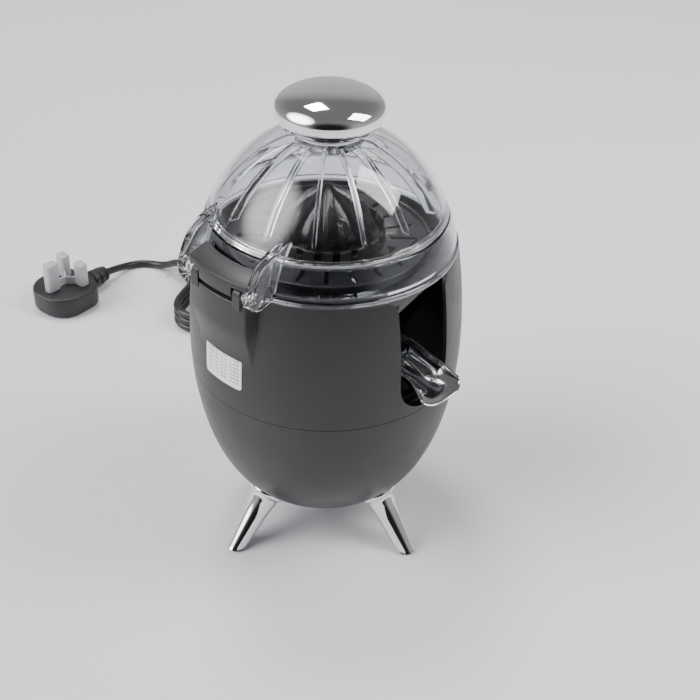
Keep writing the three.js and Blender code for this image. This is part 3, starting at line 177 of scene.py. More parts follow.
def keep(obj, body, slot, *nodes):
    """Hand a piece to the frame: the body it rides and the CAD nodes it stands for; its finish (slot) is not
    used.
    """
    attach(obj, body)
    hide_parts(*nodes)
    return obj


def grid_faces(rows, columns, wrap_rows, wrap_columns):
    """Quads between the points of a rows x columns grid that may close on itself either way."""
    i, j = np.meshgrid(
        np.arange(rows if wrap_rows else rows - 1), np.arange(columns if wrap_columns else columns - 1),
        indexing="ij")
    k, m = (i + 1) % rows, (j + 1) % columns
    quads = np.stack([i * columns + j, i * columns + m, k * columns + m, k * columns + j], -1)
    return quads.reshape(-1, 4).tolist()


def tube(path, radius, around=24):
    """Rings of one or many radii about a path, side and up vectors carried along it without twist."""
    path = np.asarray(path, float)
    radii = np.broadcast_to(radius, len(path))
    ahead = np.gradient(path, axis=0)
    ahead /= np.linalg.norm(ahead, axis=1)[:, None]
    angle = np.linspace(0, 2 * np.pi, around, endpoint=False)[:, None]
    side = np.cross(ahead[0], [0.12, 0.31, 0.94])
    rings = []
    for point, way, size in zip(path, ahead, radii):
        side = side - way * (side @ way)
        side /= np.linalg.norm(side)
        rings.append(point + size * (np.cos(angle) * side + np.sin(angle) * np.cross(way, side)))
    faces = grid_faces(len(path), around, False, True)
    last = (len(path) - 1) * around
    return np.vstack(rings), faces + [list(range(around))[::-1], list(range(last, last + around))]


def turned(profile, around=160):
    """A (radius, height) profile turned about Z: one from axis to axis is capped, any other one closes."""
    profile = np.asarray(profile, float)
    on_axis = profile[:, 0] < 1e-9
    follow = np.roll(profile, -1, 0)
    if np.sum(profile[:, 0] * follow[:, 1] - follow[:, 0] * profile[:, 1]) < 0:
        profile, on_axis = profile[::-1], on_axis[::-1]
    capped = bool(on_axis[0] and on_axis[-1])
    rim = profile[1:-1] if capped else profile
    angle = np.linspace(0, 2 * np.pi, around, endpoint=False)
    points = np.stack([
        np.outer(rim[:, 0], np.cos(angle)), np.outer(rim[:, 0], np.sin(angle)),
        np.repeat(rim[:, 1:], around, 1)], -1).reshape(-1, 3)
    faces = grid_faces(len(rim), around, not capped, True)
    if capped:
        first, top, ring = len(points), len(points) - around, range(around)
        points = np.vstack([points, [0, 0, profile[0, 1]], [0, 0, profile[-1, 1]]])
        faces += [[first, (j + 1) % around, j] for j in ring]
        faces += [[first + 1, top + j, top + (j + 1) % around] for j in ring]
    return points, faces


def moved(shape, matrix):
    """The shape with each point p carried to matrix @ p."""
    matrix = np.array(matrix)
    return shape[0] @ matrix[:3, :3].T + matrix[:3, 3], shape[1]


def joined(*shapes):
    """Several shapes as one."""
    starts = np.cumsum([0] + [len(points) for points, _ in shapes])
    faces = [[start + i for i in face] for start, (_, some) in zip(starts, shapes) for face in some]
    return np.vstack([points for points, _ in shapes]), faces


def flowing(points, per_span=6):
    """A centripetal Catmull-Rom curve: knots t step by the root of each span, six blends give a point."""
    points = np.asarray(points, float)
    ends = [2 * points[0] - points[1], *points, 2 * points[-1] - points[-2]]
    out = []
    for p0, p1, p2, p3 in zip(ends, ends[1:], ends[2:], ends[3:]):
        t1 = math.sqrt(np.linalg.norm(p1 - p0))
        t2 = t1 + math.sqrt(np.linalg.norm(p2 - p1))
        t3 = t2 + math.sqrt(np.linalg.norm(p3 - p2))
        t = np.linspace(t1, t2, per_span, endpoint=False)[:, None]
        a1, a2 = (t1 - t) / t1 * p0 + t / t1 * p1, (t2 - t) / (t2 - t1) * p1 + (t - t1) / (t2 - t1) * p2
        a3 = (t3 - t) / (t3 - t2) * p2 + (t - t2) / (t3 - t2) * p3
        b1, b2 = (t2 - t) / t2 * a1 + t / t2 * a2, (t3 - t) / (t3 - t1) * a2 + (t - t1) / (t3 - t1) * a3
        out.append((t2 - t) / (t2 - t1) * b1 + (t - t1) / (t2 - t1) * b2)
    return np.vstack([*out, points[-1:]])


def spin(degrees): return Matrix.Rotation(math.radians(degrees), 4, "Z")
def shift(x, y, z): return Matrix.Translation((x, y, z))
def tip(degrees, axis="Y"): return Matrix.Rotation(math.radians(degrees), 4, axis)


LEAD = 3.1                                  # radius of the lead
FOLD, FOLD_PLACE, PINCH = 18.6, 39.3, 6.2   # fold radius, its centre along the hank, half gap at the tie
HANK_PITCH = 6.3                            # each turn climbs by this much
LEAD_REST = 3.3                             # the lead's centre line where it lies on the table
HANK_X, HANK_Y, HANK_HEADING = 101.5, 256.5, math.radians(49)
hank_way = np.array([math.cos(HANK_HEADING), math.sin(HANK_HEADING)])


def on_hank(along, across, z):
    """Hank coordinates to object mm: centre + way * along + side * across."""
    along, across = np.asarray(along, float), np.asarray(across, float)
    plan = [HANK_X + hank_way[0] * along + hank_way[1] * across,
            HANK_Y + hank_way[1] * along - hank_way[0] * across]
    return np.stack([*plan, np.broadcast_to(z, along.shape)], -1)


def hank_turn():
    """One turn in plan: half circles of radius FOLD, and runs that draw in to PINCH at the tie."""
    run = np.linspace(-1, 1, 13)[:-1]
    share = np.abs(run)
    gap = PINCH + (FOLD - PINCH) * share * share * (3 - 2 * share)
    near, far, back = (np.radians(np.linspace(a, b, n)[:-1]) for a, b, n in (
        (180, 270, 7), (-90, 90, 13), (90, 180, 7)))
    return np.vstack([
        np.stack([FOLD * np.cos(near) - FOLD_PLACE, FOLD * np.sin(near)], -1),
        np.stack([run * FOLD_PLACE, -gap], -1),
        np.stack([FOLD * np.cos(far) + FOLD_PLACE, FOLD * np.sin(far)], -1),
        np.stack([-run * FOLD_PLACE, gap], -1),
        np.stack([FOLD * np.cos(back) - FOLD_PLACE, FOLD * np.sin(back)], -1)])


turn = hank_turn()
turn_steps = np.linalg.norm(np.diff(np.vstack([turn, turn[:1]]), axis=0), axis=1)
turn_share = np.concatenate([[0], np.cumsum(turn_steps)[:-1]]) / turn_steps.sum()
leaving = (np.arange(len(turn)) < 14) & ((turn[:, 0] < 3) & (turn[:, 1] < 0) | (np.arange(len(turn)) < 6))
hank = np.vstack([
    on_hank(turn[:, 0], turn[:, 1], LEAD_REST + HANK_PITCH * turn_share),
    on_hank(turn[:, 0], turn[:, 1], LEAD_REST + HANK_PITCH * (1 + turn_share)),
    on_hank(turn[leaving, 0], turn[leaving, 1], LEAD_REST + HANK_PITCH * (2 + turn_share[leaving]))])

GLAND_ANGLE, GLAND_ROOT, GLAND_Z = 68, 70.35, 62
gland_way = np.array([math.cos(math.radians(GLAND_ANGLE)), math.sin(math.radians(GLAND_ANGLE))])
droop = [(24, 62), (35.3, 61.6), (46.3, 58), (57.3, 49), (66.3, 36), (75.3, 21), (86.3, 9.5), (98.3, 4.4)]
PLUG_X, PLUG_Y, PLUG_TURN = -3, 324, 6      # the earth pin's place, and the plug's turn in degrees
plug_way = (math.cos(math.radians(PLUG_TURN)), math.sin(math.radians(PLUG_TURN)))


def on_plug(x, y, z):
    """Plug coordinates, from the earth pin along the plug, to object mm."""
    return (PLUG_X + x * plug_way[0] - y * plug_way[1], PLUG_Y + x * plug_way[1] + y * plug_way[0], z)


lead_path = flowing(np.vstack([
    [(*(gland_way * (GLAND_ROOT + out)), z) for out, z in droop],
    [(67.8, 167.5, 3.5), (72.7, 179.7, 3.3), (74.6, 188.1, 3.3), (73.9, 196.7, 3.3), (70.6, 204.7, 3.3)],
    hank,
    [on_hank(9.6, -8, 17.9), (104, 277.5, 18.1), (104.8, 286.5, 17.4), (104.8, 296, 13.8),
     (104.2, 305.5, 8.3), (102.3, 314.8, 4.4), (98.1, 323.8, 3.3), (91.4, 330.2, 3.3), (83.1, 333.6, 3.6),
     (73.2, 333.6, 5.4),
     on_plug(64.5, 0, 8.6), on_plug(56, 0, 9.5)]]))
lead_paint = moulded("black_pvc", (0.011, 0.011, 0.012), (0.02, 0.02, 0.021), 0.36, 0.00002)
lead = link("mains_lead", tube(lead_path, LEAD), lead_paint, 60)
keep(lead, "base", "cord_pvc", "cord_to_hank", "cord_hank", "cord_to_plug")

tie_paint = moulded("paper_covered_wire", (0.33, 0.33, 0.34), (0.5, 0.5, 0.5), 0.5, 0.00008)
tie_loop = [(0, -10.2, 1.0), (0, -10.4, 6), (0, -10.4, 14), (0.3, -9.6, 20.4), (0.2, -5, 21.4),
            (0, 2, 21.3), (-0.2, 8, 20.2), (0, 10.3, 15), (0, 10.4, 8), (0, 9.6, 0.9), (0, 4, 0.5),
            (0, -4, 0.5), (0, -9.7, 0.9)]
tie_round = flowing(np.vstack([on_hank(x, y, z) for x, y, z in tie_loop]).reshape(-1, 3))
tie_tail = flowing([on_hank(x, -y, z) for x, y, z in [
    (0.3, 7.5, 21.2), (0.8, 10.5, 22.0), (2.5, 15.5, 20.4), (1.5, 20.5, 19.4), (5, 25.5, 18.2), (4, 30, 17)]])
tie_short = flowing([on_hank(x, -y, z) for x, y, z in [(-0.3, 7.5, 21.2), (-1.5, 11, 21.4), (-5.5, 14, 19)]])
tie_shape = joined(*(tube(path, 0.45, 10) for path in (tie_round, tie_tail, tie_short)))
tie = link("twist_tie", tie_shape, tie_paint, 60)
keep(tie, "base", "steel", "cord_tie")

gland_profile = [
    (0, -10.5), (6.6, -10.5), (6.6, -9), (5.1, -9), (5.1, 3.2), (6.4, 3.2), (6.8, 3.8), (6.7, 6.3),
    (6.0, 7.2), (5.0, 8.1), (5.7, 8.8), (5.5, 11.2), (4.6, 12.0), (5.3, 12.8), (5.1, 15.4), (4.3, 16.2),
    (4.9, 17.0),
    (4.7, 19.6), (4.0, 20.4), (4.5, 21.2), (4.2, 25.4), (3.6, 26), (0, 26)]
gland_paint = moulded("gland_rubber", (0.014, 0.014, 0.014), (0.024, 0.024, 0.024), 0.58, 0.00005)
gland_place = spin(GLAND_ANGLE) @ shift(GLAND_ROOT, 0, GLAND_Z) @ tip(90)
gland = link("cord_gland_moulding", moved(turned(gland_profile, 48), gland_place), gland_paint, 40)
keep(gland, "base", "rubber", "cord_gland")


# ---- Plug -----------------------------------------------------------------------------------------
# A moulded three-pin plug that lies on its back, its brass pins under a milky pull-off transport cover.
# Its flat back and rounded D shape come from one mould; a ribbed strain relief runs onto the lead.
def rounded(points, radius, steps=5):
    """A closed outline with its corners turned into arcs; radius is one size or one for each corner."""
    points = np.asarray(points, float)
    out = []
    for here, before, after, size in zip(
            points, np.roll(points, 1, 0), np.roll(points, -1, 0), np.broadcast_to(radius, len(points))):
        back, on = before - here, after - here
        reaches = np.linalg.norm(back), np.linalg.norm(on)
        back, on = back / reaches[0], on / reaches[1]
        half = math.acos(np.clip(back @ on, -1, 1)) / 2
        reach = min(size / math.tan(half), 0.49 * min(reaches))
        centre = here + (back + on) / np.linalg.norm(back + on) * reach / math.cos(half)
        share = np.linspace(0, 1, steps + 1)[:, None]
        arm = (here + back * reach - centre) * (1 - share) + (here + on * reach - centre) * share
        out.append(centre + arm / np.linalg.norm(arm, axis=1)[:, None] * reach * math.tan(half))
    return np.vstack(out)


def slab(outline, low, high, edge=0.0, foot_edge=None):
    """A counterclockwise outline with thickness, its rims quarter rounds of size edge and foot_edge."""
    outline = np.asarray(outline, float)
    foot_edge = edge if foot_edge is None else foot_edge
    ahead = np.roll(outline, -1, 0) - np.roll(outline, 1, 0)
    normal = np.stack([ahead[:, 1], -ahead[:, 0]], -1) / np.linalg.norm(ahead, axis=1)[:, None]
    turns = np.radians([0, 22.5, 45, 67.5, 90]) if max(edge, foot_edge) > 0 else np.radians([90])
    rings = [(foot_edge * (1 - math.sin(a)), low + foot_edge * (1 - math.cos(a))) for a in turns]
    rings += [(edge * (1 - math.sin(a)), high - edge * (1 - math.cos(a))) for a in turns[::-1]]
    points = np.vstack([
        np.column_stack([outline - normal * inward, np.full(len(outline), z)]) for inward, z in rings])
    count, last = len(outline), (len(rings) - 1) * len(outline)
    faces = grid_faces(len(rings), count, False, True)
    return points, faces + [list(range(count))[::-1], list(range(last, last + count))]


def block(low, high, edge=0.0):
    """A box with rounded rims."""
    outline = [(low[0], low[1]), (high[0], low[1]), (high[0], high[1]), (low[0], high[1])]
    return slab(outline, low[2], high[2], edge)


def carved(name, base, add, cut, paint, edge=0.4, sharp=30):
    """base joined with add and cut by cut, its sharp edges rounded, baked into one mesh."""
    body = link(name, base, paint)
    tools = []
    for operation, shapes in (("UNION", add), ("DIFFERENCE", cut)):
        for shape in shapes:
            tools.append(link(name + "_tool", shape, paint))
            step = body.modifiers.new(operation, "BOOLEAN")
            step.operation, step.solver, step.object = operation, "EXACT", tools[-1]
    if edge > 0:
        bevel = body.modifiers.new("edges", "BEVEL")
        bevel.width, bevel.segments, bevel.angle_limit = edge * MM, 2, math.radians(sharp)
    baked = bpy.data.meshes.new_from_object(body.evaluated_get(bpy.context.evaluated_depsgraph_get()))
    body.modifiers.clear()
    body.data = baked
    baked.shade_smooth()
    baked.set_sharp_from_angle(angle=math.radians(sharp))
    for tool in tools:
        bpy.data.objects.remove(tool, do_unlink=True)
    return body


plug_place = shift(PLUG_X, PLUG_Y, 0) @ spin(PLUG_TURN)
plug_outline = rounded([(34, -24.5), (34, 24.5), (-13, 24.5), (-13, -24.5)], [12, 12, 21, 21], 10)
relief_profile = [
    (0, -6), (8.4, -6), (8.3, 3.5), (7.9, 5), (6.6, 5.8), (6.6, 6.8), (7.9, 7.5), (8.1, 9), (7.9, 11.6),
    (6.4, 12.4), (6.4, 13.4), (7.6, 14.2), (7.7, 16), (7.4, 18), (5.9, 18.8), (5.9, 19.6), (6.9, 20.3),
    (6.5, 22.6), (5.6, 23), (0, 23)]
plug_paint = moulded("plug_pvc", (0.0135, 0.0135, 0.0145), (0.022, 0.022, 0.023), 0.44, 0.00004)
plug = link("plug_moulding", moved(joined(
    slab(plug_outline, 0.05, 19, 1.8, 4.5),
    moved(turned(relief_profile, 48), shift(34, 0, 9.5) @ tip(90)),
    slab(rounded([(21, -9), (35, -7.6), (35, 7.6), (21, 9)], 2), 10, 19.9, 1.6)), plug_place), plug_paint)
keep(plug, "base", "rubber", "plug_body")

PINS = {                                    # x, y, length, width, height
    "pin_earth": (0, 0, 8, 4, 22.7),
    "pin_line": (22.2, -11.1, 4, 6.35, 17.7),
    "pin_neutral": (22.2, 11.1, 4, 6.35, 17.7)}
brass_paint = Paint("drawn_brass", (0.66, 0.48, 0.2), 0.28, Metallic=1.0)
brass_lines = brass_paint.noise(700, 3, 0.6, (1, 1, 0.08))
brass_paint.put(
    Base_Color=brass_paint.mixed(brass_paint.noise(90, 4), (0.7, 0.51, 0.22), (0.5, 0.36, 0.14)),
    Roughness=brass_lines.ramp(0.3, 0.8, 0.2, 0.42)).bump(brass_lines, 0.00002)
for pin in PINS:
    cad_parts[pin].data.materials.clear()
    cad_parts[pin].data.materials.append(brass_paint.material)

cover_paint = moulded(
    "milky_polythene", (0.72, 0.73, 0.75), (0.86, 0.87, 0.89), 0.34, 0.00004, 600,
    Transmission_Weight=0.55, IOR=1.5, Subsurface_Weight=0.15, Subsurface_Scale=0.004)


def pin_sleeve(pin, grow, low, high, edge):
    x, y, long, wide, tall = pin
    out = [(x - long / 2 - grow, y - wide / 2 - grow), (x + long / 2 + grow, y + wide / 2 + grow)]
    corners = [(out[0][0], out[0][1]), (out[1][0], out[0][1]), (out[1][0], out[1][1]), (out[0][0], out[1][1])]
    return slab(rounded(corners, grow + 0.4, 4), low, high + tall, edge)


def web(x, y):
    """A flat rib from the middle of the three pins to one of them."""
    reach, turn_by = math.hypot(x - 13.8, y), math.degrees(math.atan2(y, x - 13.8))
    return moved(block((-0.8, -0.8, 19.4), (reach - 2, 0.8, 26.2)), shift(13.8, 0, 0) @ spin(turn_by))


cover = carved(
    "pin_transport_cover", moved(pin_sleeve(PINS["pin_earth"], 2.1, 19.3, 21.6, 0.7), plug_place),
    [moved(shape, plug_place) for shape in (
        pin_sleeve(PINS["pin_line"], 2.1, 19.3, 21.6, 0.7),
        pin_sleeve(PINS["pin_neutral"], 2.1, 19.3, 21.6, 0.7),
        web(0, 0), web(22.2, -11.1), web(22.2, 11.1))],
    [moved(pin_sleeve(pin, 0.5, 18, 19.8, 0), plug_place) for pin in PINS.values()], cover_paint, 0)
keep(cover, "transport_cover", "cover_plastic", "pin_cover")


# ---- Lower shell and base cover ---------------------------------------------------------------------
# The satin charcoal lower half of the egg is one moulding, open underneath, where a flat black cover with
# five vents closes it. Four pan-head screws hold the cover.
SEAM_Z, RIM_Z = 124.5, 207
EGG_RADIUS, WIDEST_Z, SHOULDER, WALL = 86.5, 140, 179, 2.6
curve_share = np.linspace(0, 1, 1201)[:, None]
lower_curve = ((1 - curve_share) ** 3 * (40, 27.5) + 3 * curve_share * (1 - curve_share) ** 2 * (70, 32.5)
               + 3 * curve_share ** 2 * (1 - curve_share) * (EGG_RADIUS, 88)
               + curve_share ** 3 * (EGG_RADIUS, WIDEST_Z))


def lower_side(z0, z1, count):
    """(radius, z) points of the Bezier below the widest line, between two heights."""
    share = np.interp([z0, z1], lower_curve[:, 1], curve_share[:, 0])
    steps = np.linspace(*share, count)
    return np.stack([np.interp(steps, curve_share[:, 0], lower_curve[:, k]) for k in (0, 1)], -1)


def upper_radius(z):
    """EGG_RADIUS * sqrt(1 - ((z - WIDEST_Z) / SHOULDER)^2) above the widest line, the Bezier below it."""
    z = np.asarray(z, float)
    over = EGG_RADIUS * np.sqrt(1 - ((np.maximum(z, WIDEST_Z) - WIDEST_Z) / SHOULDER) ** 2)
    return np.where(z < WIDEST_Z, np.interp(z, lower_curve[:, 1], lower_curve[:, 0]), over)


def inset(points, distance):
    """A line that climbs on the outside, moved inward along its normals."""
    ahead = np.gradient(points, axis=0)
    ahead /= np.linalg.norm(ahead, axis=1)[:, None]
    return points + np.stack([-ahead[:, 1], ahead[:, 0]], -1) * distance


casing_paint = moulded(
    "satin_charcoal", (0.0125, 0.0115, 0.0112), (0.0185, 0.0172, 0.0168), 0.36, 0.000025, 3200)
lower_wall = lower_side(27.5, SEAM_Z - 0.12, 70)
seam_radius = float(upper_radius(SEAM_Z))
lower_profile = np.vstack([
    [(30.4, 27.5), (39.2, 27.5)], lower_wall[1:],
    [(seam_radius - 0.06, SEAM_Z - 0.02), (seam_radius - 0.2, SEAM_Z)],
    [(seam_radius - 1.45, SEAM_Z), (seam_radius - 1.45, SEAM_Z + 4), (seam_radius - 4.4, SEAM_Z + 4),
     (seam_radius - 4.4, SEAM_Z - 2)],
    inset(lower_wall, WALL)[-4:1:-1], [(38, 30.1), (30.4, 30.1), (30, 29.7), (30, 27.9)]])
lower_shell = link("casing_lower_shell", turned(lower_profile, 220), casing_paint, 30)
keep(lower_shell, "base", "casing_black", "lower_shell")

dark_paint = moulded("black_abs", (0.005, 0.005, 0.0055), (0.009, 0.009, 0.0095), 0.3, 0.00003)
base_top = 27.2
vents = joined(*(
    block((x - 1.5, -12, base_top - 5), (x + 1.5, 12, base_top + 5)) for x in (-16, -8, 0, 8, 16)))
screw_hole = turned([(0, 20), (1.5, 20), (1.5, 32), (0, 32)], 20)
screw_holes = joined(*(moved(screw_hole, spin(90 * k) @ shift(35, 0, 0)) for k in range(4)))
base_cover = carved(
    "casing_base_cover", turned([(0, base_top - 2.4), (37.8, base_top - 2.4), (38.7, base_top - 2.1),
                                 (39, base_top - 1.4), (39, base_top), (0, base_top)], 120),
    [], [vents, screw_holes], dark_paint, 0.25)
keep(base_cover, "base", "black_plastic", "base_cover")

steel_paint = Paint("turned_steel", (0.55, 0.55, 0.56), 0.3, Metallic=1.0)
steel_lines = steel_paint.noise(900, 4, 0.6, (1, 1, 0.05))
steel_paint.put(
    Base_Color=steel_paint.mixed(steel_paint.noise(60, 4).ramp(0.3, 0.7), (0.6, 0.6, 0.61), (0.4, 0.4, 0.41)),
    Roughness=steel_lines.ramp(0.25, 0.8, 0.2, 0.45)).bump(steel_lines, 0.00002)


# ---- Upper shell ----------------------------------------------------------------------------------
# The upper half carries the seam, a round-bottomed notch for the spout and the hinge boss, which swells out
# of the curve without an edge and ends in a flat top with two ears for the pin.
BOSS_RADIUS, BOSS_ANGLE = 90.7, 15.6
PIVOT_X, PIVOT_Z = -86.2, 212


def ease(value):
    value = np.clip(value, 0, 1)
    return value * value * (3 - 2 * value)


def with_boss(shape):
    """Outer points moved out to BOSS_RADIUS by ease(height) * ease(distance from the boss's sides)."""
    points, faces = shape
    radius, angle = np.hypot(points[:, 0], points[:, 1]), np.degrees(np.arctan2(points[:, 1], -points[:, 0]))
    outer = (radius > upper_radius(points[:, 2]) - 1.2) & (points[:, 2] < 206.52)
    rise = ease((points[:, 2] - 158) / 30) * ease((BOSS_ANGLE + 0.9 - np.abs(angle)) / 1.8)
    top = np.clip((points[:, 2] - 205.5) / 1.0, 0, 1)
    goal = BOSS_RADIUS - 1.0 * (1 - np.sqrt(1 - top * top))
    grown = np.where(outer, radius + (goal - radius) * rise, radius)
    return np.column_stack([points[:, :2] * (grown / radius)[:, None], points[:, 2]]), faces


def pivot_rod(radius, y0, y1, around=40, edge=0.4):
    """A round bar on the hinge's axis with rounded ends."""
    profile = [(0, y0), (radius - edge, y0), (radius, y0 + edge),
               (radius, y1 - edge), (radius - edge, y1), (0, y1)]
    return moved(turned(profile, around), shift(PIVOT_X, 0, PIVOT_Z) @ tip(-90, "X"))


def upright(outline, y0, y1, edge=0.0):
    """A slab whose outline is given in (x, z), standing across Y."""
    shape = slab(np.asarray(outline)[::-1] if signed_area(outline) < 0 else outline, -y1, -y0, edge)
    return moved(shape, tip(90, "X"))


def signed_area(outline):
    outline = np.asarray(outline, float)
    follow = np.roll(outline, -1, 0)
    return np.sum(outline[:, 0] * follow[:, 1] - follow[:, 0] * outline[:, 1]) / 2


upper_wall = np.vstack([
    lower_side(SEAM_Z + 0.32, WIDEST_Z, 12), [(upper_radius(z), z) for z in np.linspace(142, 205.5, 50)]])
rim = float(upper_radius(RIM_Z))
upper_profile = np.vstack([
    [(seam_radius - 1.15, SEAM_Z + 0.2), (seam_radius - 0.2, SEAM_Z + 0.2),
     (seam_radius - 0.06, SEAM_Z + 0.22)],
    upper_wall,
    [(upper_radius(206), 206), (upper_radius(206.4), 206.4), (upper_radius(206.5), 206.5), (rim - 0.1, 206.6),
     (rim - 0.35, 206.9), (rim - 0.7, RIM_Z), (rim - 2.2, RIM_Z), (rim - WALL, 206.6)],
    inset(upper_wall, WALL)[-2:3:-1],
    [(seam_radius - 2.6, SEAM_Z + 4.3), (seam_radius - 1.15, SEAM_Z + 4.3)]])
NOTCH, NOTCH_Z, NOTCH_CORNER = 20.15, 148, 8
arc = np.radians(np.linspace(180, 360, 37))
corner = np.radians(np.linspace(180, 90, 13))
right_corner = np.stack([
    NOTCH + NOTCH_CORNER * (1 + np.cos(corner)), RIM_Z - NOTCH_CORNER * (1 - np.sin(corner))], -1)
notch_outline = np.vstack([
    np.stack([NOTCH * np.cos(arc), NOTCH_Z + NOTCH * np.sin(arc)], -1), right_corner,
    [(NOTCH + 9, 212), (-NOTCH - 9, 212)],
    (right_corner * (-1, 1))[::-1]])
EARS = (-18, 18)
ears = [pivot_rod(3.6, y - 3, y + 3, edge=0.5) for y in EARS]
ear_roots = [block((PIVOT_X - 3.6, y - 3, 203), (PIVOT_X + 3.6, y + 3, PIVOT_Z), 0) for y in EARS]
upper_shell = carved(
    "casing_upper_shell", with_boss(turned(upper_profile, 720)), [joined(*ear_roots), joined(*ears)],
    [upright(notch_outline, -110, -50), pivot_rod(1.75, -30, 30)], casing_paint, 0)
keep(upper_shell, "base", "casing_black", "upper_shell")


# ---- Legs and foot pads ---------------------------------------------------------------------------
# Four spun and polished trumpets, chromed, whose wide flanges seat on the egg. Each one splays out to
# LEG_SPREAD and ends in a thin rubber pad.
def polished(name, color, roughness, wipe=14):
    """Chrome: hairline scratches one way, faint wiped patches in gloss, almost even colour."""
    paint = Paint(name, color, roughness, Metallic=1.0)
    lines, wiped = paint.noise(2600, 2, 0.5, (1, 1, 0.04)), paint.noise(wipe, 4, 0.6)
    paint.put(
        Base_Color=paint.mixed(wiped.ramp(0.35, 0.75), color, tuple(0.93 * c for c in color)),
        Roughness=wiped.ramp(0.35, 0.8, roughness * 0.6, roughness * 1.7) + lines * 0.02)
    return paint.bump(lines, 0.000004, 0.3)


chrome_paint = polished("polished_chrome", (0.83, 0.83, 0.84), 0.045)
LEG_ROOT, LEG_SPREAD = 52.5, 81
root_z = float(np.interp(LEG_ROOT, lower_curve[:, 0], lower_curve[:, 1]))
lean = math.degrees(math.atan2(LEG_SPREAD - LEG_ROOT, root_z))
reach = math.hypot(LEG_SPREAD - LEG_ROOT, root_z) + 8
trumpet = flowing([
    (12.1, -1.2), (10.6, -2.6), (9.4, -7), (8.2, -13.5), (7.45, -22), (6.4, -35), (5.6, 8 - reach)], 6)
leg_profile = np.vstack([[(0, 7), (12.5, 7), (12.5, -0.5)], trumpet, [(5.6, -reach), (0, -reach)]])
egg_room = turned(np.vstack([
    [(0, 27.45), (39, 27.45)], lower_side(27.8, 110, 60) + (0.04, -0.04), [(0, 110)]]), 200)
floor_room = block((-150, -150, -40), (150, 150, 2.3))
pad_paint = moulded("foot_rubber", (0.014, 0.014, 0.014), (0.03, 0.03, 0.03), 0.7, 0.00008)
for name, degrees in {"right": 0, "rear": 90, "left": 180, "front": 270}.items():
    place = spin(degrees) @ shift(LEG_ROOT, 0, root_z) @ tip(-lean)
    leg_shape = moved(turned(leg_profile, 72), place)
    leg = carved(f"chrome_leg_{name}", leg_shape, [], [egg_room, floor_room], chrome_paint, 0)
    keep(leg, "base", "chrome", f"leg_{name}")
    pad_shape = turned([(0, 0), (4.4, 0), (4.8, 0.4), (4.8, 1.6), (4.5, 2), (0, 2)], 48)
    pad = link(f"rubber_pad_{name}", moved(pad_shape, spin(degrees) @ shift(80, 0, 0)), pad_paint)
    keep(pad, "base", "rubber", f"foot_pad_{name}")


# ---- Drive ----------------------------------------------------------------------------------------
# Motor, gears, spring, switch and chassis keep their CAD shapes: steel stampings and turned parts, cut
# brass, ivory acetal gears and black moulded fittings, each with its own finish.
acetal_paint = moulded("acetal", (0.62, 0.58, 0.48), (0.78, 0.75, 0.66), 0.35, 0.00002)
seal_paint = moulded("seal_rubber", (0.012, 0.012, 0.013), (0.024, 0.024, 0.024), 0.62, 0.00005)
for nodes, paint in (
        (["drive_shaft", "motor_can", "chassis", "spring_cradle", "return_spring", "cluster_axle",
          "hinge_pin", "knob_screw",
          *(f"{kind}_screw_{k}" for kind in ("base", "chassis") for k in (1, 2, 3, 4))], steel_paint),
        (["lower_bush", "motor_rotor", *PINS], brass_paint),
        (["cluster_gear", "output_gear", "thrust_collar", "switch_plunger"], acetal_paint),
        (["motor_end_cap", "start_switch", "mechanism_deck", "spout_carrier"], dark_paint),
        (["shaft_seal"], seal_paint)):
    for node in nodes:
        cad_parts[node].data.materials.clear()
        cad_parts[node].data.materials.append(paint.material)


# ---- Spout ----------------------------------------------------------------------------------------
# A trough pressed from 1.2 mm stainless sheet and polished, its lip rounded at both corners. It tips up
# on two stub pins riveted through its sides.
SPOUT_HALF, SPOUT_DEEP, SHEET, SPOUT_BACK, SPOUT_LIP = 14.5, 11, 1.2, 60, 103.0


def trough(rows=65, steps=34):
    """Ellipse arcs (half cos v, deep sin v) along to a rounded lip; near it they widen and flatten."""
    v = np.linspace(np.pi, 2 * np.pi, rows)[:, None]
    lip = np.linspace(0, np.pi, 7)[1:-1]
    share = np.concatenate([np.linspace(0, 1, steps), np.ones(5), np.linspace(1, 0, steps)])[None]
    skin = np.concatenate([np.zeros(steps), (1 - np.cos(lip)) / 2, np.ones(steps)])[None]
    bulge = np.concatenate([np.zeros(steps), np.sin(lip) * SHEET / 2, np.zeros(steps)])[None]
    across = np.cos(v)
    end = SPOUT_LIP - 5.5 * np.abs(across) ** 5
    out = SPOUT_BACK + (end - SPOUT_BACK) * share + bulge
    open_out = ease((out - 84) / 18)
    half = SPOUT_HALF + 3.2 * open_out - SHEET * skin
    deep = SPOUT_DEEP - 3.2 * open_out - SHEET * skin
    droop = 7 * (out - SPOUT_BACK) / 43 + open_out * (1.2 + 3.6 * np.abs(across) ** 3)
    points = np.stack([half * across, -out, 156 - droop + deep * np.sin(v)], -1)
    count, last = share.shape[1], (rows - 1) * share.shape[1]
    faces = grid_faces(rows, count, False, True) + [list(range(count))[::-1], list(range(last, last + count))]
    return points.reshape(-1, 3), faces


STUB_Y, STUB_Z = -68, 149
stubs = [
    tube([(end * x, STUB_Y, STUB_Z) for x in (13.9, 18.2, 18.5)], [2, 2, 1.7], 32) for end in (-1, 1)]
spout_paint = polished("polished_steel", (0.62, 0.61, 0.6), 0.11, 40)
spout = link("pouring_spout", joined(trough(), *stubs), spout_paint, 40)
keep(spout, "spout_trough", "steel", "spout")


# ---- Juice collector ------------------------------------------------------------------------------
# A smoky clear bowl moulded with the flange that lies on the casing's rim, the clear band above it, the
# centre tube, six gussets for the strainer and a short outlet over the spout.
CAP_RADIUS, CAP_Z, CAP_RISE, CLEAR_WALL = 82.3, 184, 99, 2.4
BAND_FOOT = 212.6


